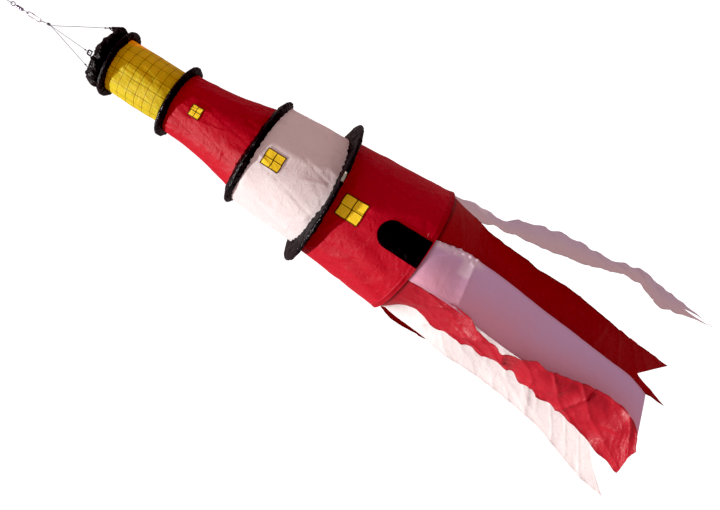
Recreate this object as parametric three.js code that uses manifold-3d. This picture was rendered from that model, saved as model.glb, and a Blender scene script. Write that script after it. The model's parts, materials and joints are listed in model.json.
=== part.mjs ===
// A decorative windsock in the shape of a lighthouse: four nylon tube panels between
// four hooped gallery rings, a gathered black roof collar, a three-line bridle on a
// snap swivel, and eight streamers. Millimetres, +Z up. The sock hangs from the loop
// at the origin, and its front, with the windows and the door, faces -Y.
import * as THREE from 'three';
import { mergeVertices } from 'three/addons/utils/BufferGeometryUtils.js';
import Module from 'manifold-3d';

const wasm = await Module();
wasm.setup();

// ---- driving dimensions ----
const N = 36;                 // facets round every tube of the sock
const STEP = (2 * Math.PI) / N;
const AXIS_X = 9;             // the sock's own axis; it hangs from its centre of mass
const WALL = 1.2;             // stand-in thickness of the nylon panels
const GAP = 0.35;
const rad = (d) => (d * Math.PI) / 180;

// gallery rings: plane height, outer radius of the sleeve, half height at the tube,
// tube radius just above and just below, tilt of the plane about Y and X, and the
// bearing of the hoop's ferrule from the front
const RINGS = [
  { z: -241.0, out: 62.6, half: 6.5, above: 49.2, below: 49.0, tx: 0.0, ty: 0.0, ferrule: 172.5 },
  { z: -358.7, out: 70.5, half: 7.5, above: 50.5, below: 57.8, tx: -0.0253, ty: -0.0405, ferrule: -172.5 },
  { z: -524.8, out: 108.2, half: 10.5, above: 86.5, below: 98.6, tx: -0.0377, ty: -0.0573, ferrule: 165 },
  { z: -662.5, out: 144.0, half: 10.5, above: 109.0, below: 111.6, tx: 0.0437, ty: 0.0794, ferrule: 15.5 },
];
const BASE = { z: -865.0, r: 133.0, tx: -0.0417, ty: -0.026 };
const ROD = 2.0;              // glass fibre hoop rod, radius
const CROOK = 3.6;            // inside radius of the sleeve where it wraps the rod
const SKIN = 0.8;             // sleeve thickness
const FLAT = 16;              // each ring's tilt holds this far above and below it

// tilt of the tube's cross-section at a height, so that the cloth between two rings
// follows both of them
const LEVELS = [
  [0, 0, 0], [-225, 0, 0],
  ...RINGS.flatMap((r) => [[r.z + FLAT, r.tx, r.ty], [r.z - FLAT, r.tx, r.ty]]),
  [BASE.z + FLAT, BASE.tx, BASE.ty], [BASE.z - FLAT, BASE.tx, BASE.ty], [-960, 0, 0], [-3000, 0, 0],
];
function tiltAt(z) {
  for (let i = 1; i < LEVELS.length; i++) {
    const [za, xa, ya] = LEVELS[i - 1];
    const [zb, xb, yb] = LEVELS[i];
    if (z >= zb) {
      const t = Math.min(1, Math.max(0, (za - z) / (za - zb || 1)));
      return [xa + (xb - xa) * t, ya + (yb - ya) * t];
    }
  }
  return [0, 0];
}

// radius of a tube panel's outer face at a height: panel k hangs below ring k
const PANEL = [
  { top: 0, bottom: 1, bow: 0.6 },
  { top: 1, bottom: 2, bow: -5.0 },
  { top: 2, bottom: 3, bow: 0.5 },
  { top: 3, bottom: null, bow: 1.0 },
];
function panelEnds(k) {
  const p = PANEL[k];
  const low = p.bottom === null ? { z: BASE.z, above: BASE.r } : RINGS[p.bottom];
  return { z0: RINGS[p.top].z - 1, z1: p.bottom === null ? BASE.z : low.z + 1, r0: RINGS[p.top].below, r1: low.above };
}
function panelRadius(k, z) {
  const { z0, z1, r0, r1 } = panelEnds(k);
  const t = Math.min(1, Math.max(0, (z0 - z) / (z0 - z1)));
  return r0 + (r1 - r0) * t + PANEL[k].bow * Math.sin(Math.PI * t);
}
// roof collar: a gathered tube from the first ring to the mouth
const MOUTH = { z: -205, ty: 0.18, r: 48 };
function collarRadius(t) {
  return 49.2 + (MOUTH.r - 49.2) * t + 7.2 * Math.pow(Math.sin(Math.PI * Math.min(1, Math.max(0, (t - 0.12) / 0.88))), 0.9);
}
const BRIDLE_AT = [-13, 107, -133];   // bearings of the three bridle points
const hang = { eye: -45.2, lowEye: -69.8 };   // centres of the swivel's two eyes
const KNOT = new THREE.Vector3(2.5, 0, -109.5);

// ---- materials ----
const finish = (color, roughness, metalness = 0) => new THREE.MeshStandardMaterial({ color, roughness, metalness });
const M = {
  yellow: finish(0xe9c022, 0.55), red: finish(0xb80a22, 0.5), white: finish(0xf2ecec, 0.5), black: finish(0x0c0a0c, 0.45),
  rod: finish(0xd8dcc8, 0.5), ferrule: finish(0xb8bcc0, 0.3, 1), brass: finish(0x4a4a58, 0.3, 1), steel: finish(0x9a9aa2, 0.28, 1),
  cord: finish(0x2a2c38, 0.8),
};

// ---- helpers ----
const sock = new THREE.Group();
sock.name = 'lighthouse_windsock';
const names = new Set();
function put(name, geometry, material) {
  if (names.has(name)) throw new Error(name + ' twice');
  names.add(name);
  const mesh = new THREE.Mesh(tidy(geometry), material);
  mesh.name = name;
  sock.add(mesh);
  return mesh;
}
function tidy(geometry) {
  let g = geometry.index ? geometry : mergeable(geometry);
  g = g.clone();
  g.deleteAttribute('normal');
  g.deleteAttribute('uv');
  g = mergeVertices(g, 1e-4);
  const at = g.attributes.position.array, ix = Array.from(g.index.array), keep = [];
  let volume = 0;
  for (let i = 0; i < ix.length; i += 3) {
    const [a, b, c] = [ix[i], ix[i + 1], ix[i + 2]];
    if (a === b || b === c || a === c) continue;
    keep.push(a, b, c);
    const p = (n) => new THREE.Vector3(at[3 * n], at[3 * n + 1], at[3 * n + 2]);
    volume += p(a).dot(p(b).cross(p(c))) / 6;
  }
  if (volume < 0) for (let i = 0; i < keep.length; i += 3) [keep[i], keep[i + 1]] = [keep[i + 1], keep[i]];
  g.setIndex(keep);
  g.computeVertexNormals();
  return g;
}
function mergeable(g) {
  const h = g.clone();
  h.setIndex([...Array(g.attributes.position.count).keys()]);
  return h;
}
// a closed profile of [radius, height] pairs, turned about Z, vertex 0 at the front
function turn(profile, segments = N) {
  const pts = [...profile, profile[0]].map(([r, z]) => new THREE.Vector2(r, z));
  const g = new THREE.LatheGeometry(pts, segments);
  g.rotateX(Math.PI / 2);
  return g;
}
// a profile that starts and ends on the axis
function lathe(profile, segments = 10) {
  const g = new THREE.LatheGeometry(profile.map(([r, z]) => new THREE.Vector2(r, z)), segments);
  g.rotateX(Math.PI / 2);
  return g;
}
// move a piece of the sock from its straight axis to where it hangs: each level tilted
function lean(g) {
  const p = g.attributes.position;
  for (let i = 0; i < p.count; i++) {
    const x = p.getX(i), y = p.getY(i), z = p.getZ(i);
    const [tx, ty] = tiltAt(z);
    p.setXYZ(i, x + AXIS_X, y, z + tx * x + ty * y);
  }
  return g;
}
function rod(points, radius, steps, sides = 8, closed = false) {
  const path = new THREE.CatmullRomCurve3(points, closed, 'centripetal');
  const section = new THREE.Shape();
  for (let i = 0; i < sides; i++) {
    const a = (2 * Math.PI * (i + 0.5)) / sides;
    section[i ? 'lineTo' : 'moveTo'](radius * Math.cos(a), radius * Math.sin(a));
  }
  section.closePath();
  return new THREE.ExtrudeGeometry(section, { steps, bevelEnabled: false, extrudePath: path });
}
const V = (x, y, z) => new THREE.Vector3(x, y, z);
// solids for a cut or a join
function solid(geometry) {
  const g = tidy(geometry);
  return new wasm.Manifold(new wasm.Mesh({
    numProp: 3, vertProperties: new Float32Array(g.attributes.position.array), triVerts: new Uint32Array(g.index.array),
  }));
}
function geometryOf(manifold) {
  const m = manifold.getMesh();
  const g = new THREE.BufferGeometry();
  const v = new Float32Array((m.vertProperties.length / m.numProp) * 3);
  for (let i = 0; i < v.length / 3; i++) for (let k = 0; k < 3; k++) v[3 * i + k] = m.vertProperties[m.numProp * i + k];
  g.setAttribute('position', new THREE.BufferAttribute(v, 3));
  g.setIndex([...m.triVerts]);
  return g;
}
// a closed thin solid over a grid of middle-surface points, offset each way along normals
function slab(grid, thickness) {
  const rows = grid.length, cols = grid[0].length, pos = [], index = [];
  const n = (i, j) => {
    const u = V(0, 0, 0).subVectors(grid[Math.min(rows - 1, i + 1)][j], grid[Math.max(0, i - 1)][j]);
    const w = V(0, 0, 0).subVectors(grid[i][Math.min(cols - 1, j + 1)], grid[i][Math.max(0, j - 1)]);
    return u.cross(w).normalize();
  };
  for (const side of [1, -1]) for (let i = 0; i < rows; i++) for (let j = 0; j < cols; j++) {
    const p = grid[i][j].clone().addScaledVector(n(i, j), (side * thickness) / 2);
    pos.push(p.x, p.y, p.z);
  }
  const id = (s, i, j) => s * rows * cols + i * cols + j;
  for (let i = 0; i < rows - 1; i++) for (let j = 0; j < cols - 1; j++) {
    index.push(id(0, i, j), id(0, i + 1, j), id(0, i + 1, j + 1), id(0, i, j), id(0, i + 1, j + 1), id(0, i, j + 1));
    index.push(id(1, i, j), id(1, i + 1, j + 1), id(1, i + 1, j), id(1, i, j), id(1, i, j + 1), id(1, i + 1, j + 1));
  }
  const rim = [];
  for (let j = 0; j < cols; j++) rim.push([0, j]);
  for (let i = 1; i < rows; i++) rim.push([i, cols - 1]);
  for (let j = cols - 2; j >= 0; j--) rim.push([rows - 1, j]);
  for (let i = rows - 2; i > 0; i--) rim.push([i, 0]);
  for (let k = 0; k < rim.length; k++) {
    const [a, b] = rim[k], [c, d] = rim[(k + 1) % rim.length];
    index.push(id(0, a, b), id(0, c, d), id(1, c, d), id(0, a, b), id(1, c, d), id(1, a, b));
  }
  const g = new THREE.BufferGeometry();
  g.setAttribute('position', new THREE.BufferAttribute(new Float32Array(pos), 3));
  g.setIndex(index);
  return g;
}
// radius of the faceted tube towards a bearing, for a true radius at its corners
function faceted(r, angle) {
  const a = ((angle % STEP) + STEP) % STEP;
  return (r * Math.cos(STEP / 2)) / Math.cos(a - STEP / 2);
}

// ---- streamers: bearing of the root's middle, where the end's notch has its point and how deep
// it is, and both long edges from the seam down ----
const STREAMERS = [
  { name: 'streamer_white_right', dye: 'white', at: 90, apex: 0.5, notch: 70,
    a: [[131.7, -49.1, -869.4], [127.5, -57.5, -924.7], [121.2, -62, -980.2], [135.3, -67.3, -1034.2], [144.2, -74.4, -1089.1], [155.5, -80.4, -1143.5], [172.7, -85.9, -1196.7], [179.7, -91.4, -1251], [163, -97.1, -1304.5], [176.8, -101.5, -1358.7], [186.2, -108, -1413.6]],
    b: [[131.7, 49.1, -872], [144.5, 39.6, -933], [142.6, 30.8, -994.3], [181.9, 20.1, -1043.8], [194.6, 14, -1105.9], [201.3, 8.9, -1168.8], [206.1, 2.3, -1231.8], [221.6, -3.5, -1290.6], [213.3, -10.2, -1353.4], [208.5, -18.4, -1416.1], [201.6, -26, -1478.8]] },
  { name: 'streamer_red_front_right', dye: 'red', at: 41.25, apex: 0.3, notch: 82,
    a: [[44.8, -127.3, -863.8], [51.5, -119.4, -919.8], [39.6, -114.7, -976.3], [32.6, -110.8, -1033.5], [26.8, -106.6, -1090.7], [22.6, -103.2, -1148.1], [19.1, -100.2, -1205.6], [15.8, -97.7, -1263.2], [13.2, -95.5, -1320.7], [11.7, -93.3, -1378.4], [11, -91, -1436]],
    b: [[130.5, -52.1, -869.3], [123.7, -62, -925.3], [115.9, -57.1, -981.8], [107.8, -51.8, -1038.5], [104.5, -46.9, -1095.3], [106.9, -42.6, -1152.4], [102.6, -39.5, -1209.3], [96.1, -36.8, -1266.3], [91.2, -34.3, -1323.3], [87.6, -32.8, -1380.4], [84.9, -32, -1437.7]] },
  { name: 'streamer_white_front', dye: 'white', at: -3.75, apex: 0.5, notch: 0,
    a: [[-40.1, -122.7, -860.4], [-40, -124, -916], [-43, -125, -971.6], [-49.6, -123.4, -1026.8], [-54.4, -121, -1082.2], [-56.9, -118.4, -1137.8], [-57, -116.9, -1193.4], [-57.1, -115.9, -1249], [-61, -115.1, -1304.8], [-69.9, -115.1, -1359.2], [-89, -116, -1412]],
    b: [[41.7, -128.1, -863.6], [51.8, -127, -911.8], [51.5, -126.7, -963.6], [49, -125.6, -1014.7], [43.9, -124.1, -1065.7], [39.4, -122.3, -1116.7], [36.1, -119.9, -1167.8], [32.1, -117.8, -1218.9], [27.8, -116, -1269.9], [24.3, -113.8, -1320.9], [11.1, -112, -1370.5]] },
  { name: 'streamer_red_front_left', dye: 'red', at: -45, apex: 0.5, notch: 0,
    a: [[-112.5, -52.1, -859.2], [-84.6, -56, -910.1], [-93.4, -51.9, -968], [-90.3, -49, -1026.4], [-92.6, -49.6, -1085], [-89.9, -52.9, -1143.4], [-98.5, -59.3, -1200.7], [-106.2, -66.7, -1258.3], [-117.5, -74.4, -1315.2], [-133.1, -82.9, -1371], [-148.7, -92, -1426.8]],
    b: [[-43.1, -121.5, -860.3], [-41.2, -128.6, -915.5], [-41.4, -138.7, -970], [-53.5, -142.5, -1024.5], [-61, -145.6, -1079.9], [-53.6, -146, -1134.4], [-52.5, -146, -1189.5], [-39.7, -145.3, -1242.9], [-33.2, -146.6, -1298.6], [-40.9, -150.6, -1348.9], [-92, -152, -1381.3]] },
  { name: 'streamer_white_left', dye: 'white', at: -90, apex: 0.66, notch: 62,
    a: [[-113.7, 49.1, -861.8], [-122, 33, -918.2], [-124.6, 9.6, -972.6], [-134.3, -4.2, -1028.9], [-135.2, -14.1, -1088.1], [-138.7, -28.3, -1145.9], [-145.3, -41.6, -1203.7], [-156.1, -55, -1260.8], [-175.4, -69.9, -1315.1], [-193.3, -82.2, -1370], [-202.7, -92, -1428.6]],
    b: [[-113.7, -49.1, -859.2], [-94.9, -50, -915.3], [-74.8, -46.9, -970.8], [-59.4, -41.2, -1027.7], [-49.5, -35.4, -1085.9], [-49.8, -33.4, -1144.7], [-56.9, -33.1, -1203.5], [-69.1, -34.7, -1261.4], [-82.3, -36.9, -1319.1], [-98, -39.4, -1376], [-117, -42, -1432]] },
  { name: 'streamer_red_back_left', dye: 'red', at: -135, apex: 0.5, notch: 78,
    a: [[-43.1, 121.5, -866.6], [-56, 124.1, -921.5], [-65.5, 126.8, -976.9], [-72.1, 129.7, -1032.8], [-77.9, 132.4, -1088.9], [-83.4, 135.1, -1145], [-88.3, 137.6, -1201.1], [-92.7, 139.8, -1257.3], [-96.6, 141.8, -1313.5], [-100, 143.9, -1369.7], [-103, 146, -1426]],
    b: [[-112.5, 52.1, -861.9], [-122.3, 58.1, -917.7], [-129.4, 60, -973.9], [-134.1, 60, -1030.6], [-138.7, 60, -1087.3], [-144, 62.1, -1143.9], [-149.9, 65.5, -1200.3], [-156.9, 68.5, -1256.7], [-164.2, 71.6, -1313], [-170.1, 74.8, -1369.4], [-175, 78, -1426]] },
  { name: 'streamer_white_back', dye: 'white', at: 180, apex: 0.5, notch: 78,
    a: [[58.1, 122.7, -870.8], [47.9, 132.8, -925], [40.8, 140.7, -979.9], [35.7, 147.6, -1035.3], [32.5, 149.9, -1091], [30.2, 147.9, -1146.9], [29, 146, -1202.8], [31.1, 148.7, -1258.5], [34.8, 153.7, -1314.2], [36.3, 156.3, -1370.1], [37, 158, -1426]],
    b: [[-40.1, 122.7, -866.7], [-48.2, 127, -922.3], [-55.1, 131.4, -977.9], [-61.5, 135.9, -1033.7], [-65.4, 141, -1089.5], [-67.8, 148.6, -1145.3], [-69, 153.9, -1201.3], [-66.9, 153.2, -1257.4], [-63.2, 152, -1313.6], [-61.7, 152.4, -1369.8], [-61, 154, -1426]] },
  { name: 'streamer_red_back_right', dye: 'red', at: 135, apex: 0.5, notch: 78,
    a: [[130.5, 52.1, -872], [119.7, 55, -926.6], [114.9, 57.1, -981.7], [112.4, 58.8, -1037.3], [110.6, 60.4, -1092.9], [109.4, 62.1, -1148.5], [108.2, 63.8, -1204], [105.9, 65.7, -1259.5], [103.2, 67.8, -1315], [101, 69.9, -1370.5], [99, 72, -1426]],
    b: [[61.1, 121.5, -870.9], [58.3, 124.6, -926.4], [54.9, 128, -981.8], [51, 131.7, -1037.2], [48.7, 134.5, -1092.6], [47.8, 136.2, -1148.2], [47.1, 137.8, -1203.8], [46.1, 139.7, -1259.3], [45.1, 141.8, -1314.9], [44.1, 143.9, -1370.4], [43, 146, -1426]] },
];

// ---- hanging cord, swivel and snap ----
const upperLoop = [V(-1.5, 0, -26.2), V(-2.6, 0, -21), V(-5.2, 0, -13), V(-5.2, 0, -6.2), V(0, 0, -0.6), V(5.2, 0, -6.2), V(5.2, 0, -13), V(2.6, 0, -21), V(1.5, 0, -26.2)];
put('hang_loop_cord', rod(upperLoop, 0.6, 26), M.cord);
const knotShape = (r, h) => [[0, h / 2], [r * 0.62, h * 0.42], [r, h * 0.18], [r * 0.86, 0], [r, -h * 0.18], [r * 0.62, -h * 0.42], [0, -h / 2]];
put('hang_knot', lathe(knotShape(2.5, 6)).translate(0, 0, -29.5), M.cord);
put('swivel_cord', rod([V(0, -1.4, -32.8), V(0, -2.0, -36), V(0, -2.5, -40), V(0, -1.9, -42.6), V(0, 0, -43.9), V(0, 1.9, -42.6), V(0, 2.5, -40), V(0, 2.0, -36), V(0, 1.4, -32.8)], 0.6, 18), M.cord);

const ringPoints = (r, plane) => [...Array(16).keys()].map((i) => {
  const a = (2 * Math.PI * i) / 16;
  return plane === 'xz' ? V(r * Math.sin(a), 0, r * Math.cos(a)) : V(0, r * Math.sin(a), r * Math.cos(a));
});
function eye(plane, r, stem, headAt, up) {
  const ring = plane === 'xz' ? new THREE.TorusGeometry(r, 0.7, 6, 16).rotateX(Math.PI / 2) : new THREE.TorusGeometry(r, 0.7, 6, 16).rotateY(Math.PI / 2);
  if (plane === 'xz') ring.rotateX(0);
  const bar = lathe([[0, 0], [0.7, 0], [0.7, -stem], [1.5, -stem], [1.5, -stem - 1.1], [0, -stem - 1.1]], 12).translate(0, 0, -r);
  const joined = solid(ring).add(solid(bar));
  const g = geometryOf(joined);
  if (!up) g.rotateX(Math.PI);
  return g.translate(0, 0, headAt);
}
put('swivel_upper_eye', eye('xz', 3.4, 4.3, hang.eye, true), M.brass);
put('swivel_barrel', turn([[1.05, -51], [1.9, -51], [2.7, -52.8], [2.7, -62.2], [1.9, -64], [1.05, -64], [1.05, -62.9], [1.9, -62.9], [1.9, -52.1], [1.05, -52.1]], 16), M.brass);
put('swivel_lower_eye', eye('yz', 3.4, 4.3, hang.lowEye, false), M.brass);

// wire snap: a long hook, with ears and a pin that carry the gate
{
  const r = 0.75, w = 3.1;
  const hook = [V(w, 0, -79.8), V(w, 0, -74.8), V(2.2, 0, -72.3), V(0, 0, -71.4), V(-2.2, 0, -72.3), V(-w, 0, -74.8), V(-w, 0, -84), V(-w, 0, -93.2), V(-2.2, 0, -95.6), V(0, 0, -96.5), V(2.2, 0, -95.6), V(w, 0, -93.4), V(w, 0, -91.6)];
  let body = solid(rod(hook, r, 26));
  for (const s of [-1, 1]) body = body.add(solid(new THREE.BoxGeometry(2.2, 0.6, 3.4).translate(w, s * 1.25, -80.6)));
  body = body.add(solid(new THREE.BoxGeometry(2.2, 3.1, 0.9).translate(w, 0, -79.3)));
  body = body.add(solid(new THREE.CylinderGeometry(0.45, 0.45, 3.2, 12).translate(w, 0, -81.4)));
  put('snap_body', geometryOf(body), M.steel);
  const bar = solid(new THREE.CylinderGeometry(0.62, 0.62, 8.6, 10).rotateX(Math.PI / 2).translate(w, 0, -86.7));
  const knuckle = solid(new THREE.CylinderGeometry(1.15, 1.15, 1.3, 16).translate(w, 0, -81.4));
  const bore = solid(new THREE.CylinderGeometry(0.6, 0.6, 3, 16).translate(w, 0, -81.4));
  put('snap_gate', geometryOf(bar.add(knuckle).subtract(bore)), M.steel);
}

// ---- bridle ----
put('bridle_loop_cord', rod([V(2.0, -1.2, -105.4), V(1.4, -2.1, -101.5), V(0.4, -2.2, -97.4), V(0, -1.5, -95.3), V(0, 0, -94.7), V(0, 1.5, -95.3), V(0.4, 2.2, -97.4), V(1.4, 2.1, -101.5), V(2.0, 1.2, -105.4)], 0.6, 18), M.cord);
put('bridle_knot', lathe(knotShape(2.9, 7.6)).translate(KNOT.x, KNOT.y, KNOT.z), M.cord);
const mouthZ = (x, y) => MOUTH.z + MOUTH.ty * y;
BRIDLE_AT.forEach((deg, k) => {
  const a = rad(deg), c = Math.cos(a), s = Math.sin(a), n = k + 1;
  const dir = V(s, -c, 0), side = V(c, s, 0);
  const edge = MOUTH.r - 0.7;
  const bar = V(AXIS_X + s * edge, -c * edge, mouthZ(0, -c * edge) + 10.2);
  const start = V(KNOT.x, KNOT.y, KNOT.z - 3.0);
  const along = V(0, 0, 0).subVectors(bar, start).normalize();
  const foot = bar.clone().addScaledVector(along, 3.6);
  const knot = foot.clone().addScaledVector(along, -11);
  const out = start.clone().addScaledVector(along, 2.9);
  put(`bridle_line_${n}`, rod([out, out.clone().lerp(knot, 0.5), knot.clone().addScaledVector(along, -2.6)], 0.5, 10), M.cord);
  const bead = lathe(knotShape(1.7, 4)).applyQuaternion(new THREE.Quaternion().setFromUnitVectors(V(0, 0, -1), along)).translate(knot.x, knot.y, knot.z);
  put(`bridle_line_knot_${n}`, bead, M.cord);
  // the line's end passes through the tab and back up to its knot
  const f = (u, w) => knot.clone().addScaledVector(along, u).addScaledVector(dir, w);
  put(`bridle_line_eye_${n}`, rod([f(2.7, -0.8), f(6, -1.9), f(9.6, -2.3), f(11.6, -1.6), f(12.4, 0), f(11.6, 1.6), f(9.6, 2.3), f(6, 1.9), f(2.7, 0.8)], 0.5, 13), M.cord);
  // webbing tab: a folded strip with a slot, sewn outside the mouth
  const plate = new THREE.Shape();
  plate.moveTo(-5, -0.6); plate.lineTo(5, -0.6); plate.lineTo(5, 5.2); plate.lineTo(3.4, 7.4); plate.lineTo(-3.4, 7.4); plate.lineTo(-5, 5.2); plate.closePath();
  const slot = new THREE.Path();
  slot.moveTo(-2.6, 0.9); slot.lineTo(-2.6, 5.2); slot.lineTo(2.6, 5.2); slot.lineTo(2.6, 0.9); slot.closePath();
  plate.holes.push(slot);
  const tab = new THREE.ExtrudeGeometry(plate, { depth: 1.0, bevelEnabled: false });
  const at = V(AXIS_X + s * (MOUTH.r - 1.2), -c * (MOUTH.r - 1.2), mouthZ(0, -c * edge) + 3.9);
  tab.applyMatrix4(new THREE.Matrix4().makeBasis(side, V(0, 0, 1), dir)).translate(at.x, at.y, at.z);
  put(`bridle_tab_${n}`, tab, M.black);
});

// ---- roof collar ----
{
  const z0 = RINGS[0].z + 1, rows = 6, height = MOUTH.z - z0;
  const profile = [];
  for (let i = 0; i <= rows; i++) profile.push([collarRadius(i / rows), z0 + (height * i) / rows]);
  for (let i = rows; i >= 0; i--) profile.push([collarRadius(i / rows) - WALL, z0 + (height * i) / rows]);
  const g = turn(profile);
  const p = g.attributes.position;
  for (let i = 0; i < p.count; i++) {
    const x = p.getX(i), y = p.getY(i), z = p.getZ(i), r = Math.hypot(x, y), a = Math.atan2(x, -y);
    const t = Math.max(0, (z - z0) / height);
    const ease = Math.max(0, (t - 0.45) / 0.55);
    const pleat = 1.3 * Math.cos(12 * a) * ease * (1 - 0.55 * ease);
    const k = (r + pleat) / r;
    const lip = MOUTH.ty * y + 2.2 * Math.cos(3 * (a - rad(BRIDLE_AT[0])));
    p.setXYZ(i, x * k + AXIS_X, y * k, z + lip * t * t);
  }
  put('roof_collar', g, M.black);
}

// ---- gallery rings: hoop, ferrule and sleeve ----
RINGS.forEach((ring, k) => {
  const n = k + 1, rh = ring.out - CROOK - SKIN, outer = CROOK + SKIN, f = rad(ring.ferrule);
  const inTop = (k === 0 ? collarRadius(0.2) : panelRadius(k - 1, ring.z + ring.half)) + GAP + 0.1;
  const inBottom = panelRadius(k, ring.z - ring.half) + GAP + 0.1;
  const arc = [72, 25, -25, -72];
  const profile = [[inTop, ring.half], ...arc.map((d) => [rh + outer * Math.cos(rad(d)), outer * Math.sin(rad(d))]), [inBottom, -ring.half],
    [inBottom, -ring.half + SKIN], ...[...arc].reverse().map((d) => [rh + CROOK * Math.cos(rad(d)), CROOK * Math.sin(rad(d))]), [inTop, ring.half - SKIN]];
  const sleeve = turn(profile.map(([r, z]) => [r, z + ring.z]));
  // the sleeve's opening, where the hoop goes in and its ferrule shows
  const wide = 18, cutter = new THREE.BoxGeometry(wide, 2 * outer + 4, 2 * outer + 4);
  cutter.translate(0, -(rh + outer + 1), ring.z).rotateZ(f);
  const cut = solid(sleeve).subtract(solid(cutter));
  put(`gallery_sleeve_${n}`, lean(geometryOf(cut)), M.black);
  const reach = 0.8 / rh, points = [];
  for (let i = 0; i <= N; i++) {
    const a = f + reach + ((2 * Math.PI - 2 * reach) * i) / N;
    points.push(V(rh * Math.sin(a), -rh * Math.cos(a), ring.z));
  }
  put(`hoop_${n}`, lean(rod(points, ROD, 36, 6)), M.rod);
  const half = 7 / rh, section = new THREE.Shape(), bore = new THREE.Path();
  for (let i = 0; i < 8; i++) {
    const a = (Math.PI * i) / 4 + Math.PI / 8, o = i ? 'lineTo' : 'moveTo';
    section[o](3.3 * Math.cos(a), 3.3 * Math.sin(a));
    bore[o](2.7 * Math.cos(-a), 2.7 * Math.sin(-a));
  }
  section.closePath(); bore.closePath(); section.holes.push(bore);
  const bend = [-1, 0, 1].map((s) => V(rh * Math.sin(f + s * half), -rh * Math.cos(f + s * half), ring.z));
  const path = new THREE.CatmullRomCurve3(bend);
  put(`hoop_ferrule_${n}`, lean(new THREE.ExtrudeGeometry(section, { steps: 3, bevelEnabled: false, extrudePath: path })), M.ferrule);
});

// ---- tube panels ----
const PANELS = [['lantern_panel', 'yellow', 2], ['upper_tower_panel', 'red', 5], ['middle_tower_panel', 'white', 2], ['lower_tower_panel', 'red', 2]];
PANELS.forEach(([name, dye, rows], k) => {
  const { z0, z1 } = panelEnds(k), at = (i) => z0 + ((z1 - z0) * i) / rows;
  const levels = [z0, RINGS[k].z - FLAT, ...[...Array(rows - 1).keys()].map((i) => at(i + 1)), k < 3 ? RINGS[k + 1].z + FLAT : BASE.z + FLAT, z1];
  const zs = [...new Set(levels)].sort((a, b) => b - a).filter((z, i, all) => i === 0 || i === all.length - 1 || (all[0] - z > 6 && z - all[all.length - 1] > 6));
  const profile = [...zs.map((z) => [panelRadius(k, z), z]), ...[...zs].reverse().map((z) => [panelRadius(k, z) - WALL, z])];
  put(name, lean(turn(profile)), M[dye]);
});

// ---- windows and door: patches sewn to the front of the panels ----
function patch(name, k, top, bottom, halfWidth, material, arched = false) {
  const rows = 6, half = halfWidth / panelRadius(k, (top + bottom) / 2), grid = [];
  const bearings = [];
  for (let a = -Math.ceil(half / STEP) * STEP; a <= half + STEP; a += STEP) if (Math.abs(a) < half - 0.01) bearings.push(a);
  bearings.unshift(-half); bearings.push(half);
  for (let i = 0; i <= rows; i++) {
    const row = [];
    for (const a of bearings) {
      const w = Math.abs(a) / half;
      const head = arched ? top - (1 - Math.sqrt(Math.max(0, 1 - w * w * 0.97))) * halfWidth : top;
      const z = head + ((bottom - head) * i) / rows;
      const r = faceted(panelRadius(k, z) + 0.6 + 0.45, a);
      row.push(V(r * Math.sin(a), -r * Math.cos(a), z));
    }
    grid.push(row);
  }
  put(name, lean(slab(grid, 0.9)), material);
}
patch('window_upper', 1, -393.5, -414.5, 10.5, M.yellow);
patch('window_middle', 2, -540.5, -575.5, 15, M.yellow);
patch('window_lower', 3, -690.5, -735.5, 21, M.yellow);
patch('door_panel', 3, -768, -861, 26, M.black, true);

// ---- base hem ----
{
  const r = BASE.r - 3.0;
  put('base_hem', lean(turn([[r, BASE.z + 11], [r, BASE.z - 0.5], [r - 1, BASE.z - 0.5], [r - 1, BASE.z + 11]])), M.red);
}

// ---- streamers: each is a ribbon between two long edges, root first ----
for (const t of STREAMERS) {
  const long = (p) => new THREE.CatmullRomCurve3(p.map((q) => V(...q)), false, 'centripetal');
  const a = long(t.a), b = long(t.b), across = 4, rows = 12, grid = [];
  const length = (a.getLength() + b.getLength()) / 2, out = V(Math.sin(rad(t.at)), -Math.cos(rad(t.at)), 0);
  for (let i = 0; i <= rows; i++) {
    const row = [];
    for (let j = 0; j <= across; j++) {
      const w = j / across, tent = t.apex > w ? w / t.apex : (1 - w) / (1 - t.apex);
      const s = (i / rows) * (1 - (t.notch / length) * tent);
      const p = a.getPoint(s).lerp(b.getPoint(s), w);
      const chord = a.getPoint(0).distanceTo(b.getPoint(0)), r0 = BASE.r - 0.8;
      const sag = r0 - Math.sqrt(r0 * r0 - (chord * chord) / 4);
      const bulge = sag * 4 * w * (1 - w) * Math.max(0.12, 1 - s * 6);
      row.push(p.addScaledVector(out, bulge));
    }
    grid.push(row);
  }
  put(t.name, slab(grid, 1.6), M[t.dye]);
}

export default sock;
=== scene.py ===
# The looks of a decorative lighthouse windsock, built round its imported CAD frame.
# Metres, +Z up; the sock hangs from the loop at the origin and its front faces -Y.
import json
import math

import bpy
import numpy as np
from mathutils import Matrix, Vector


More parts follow.
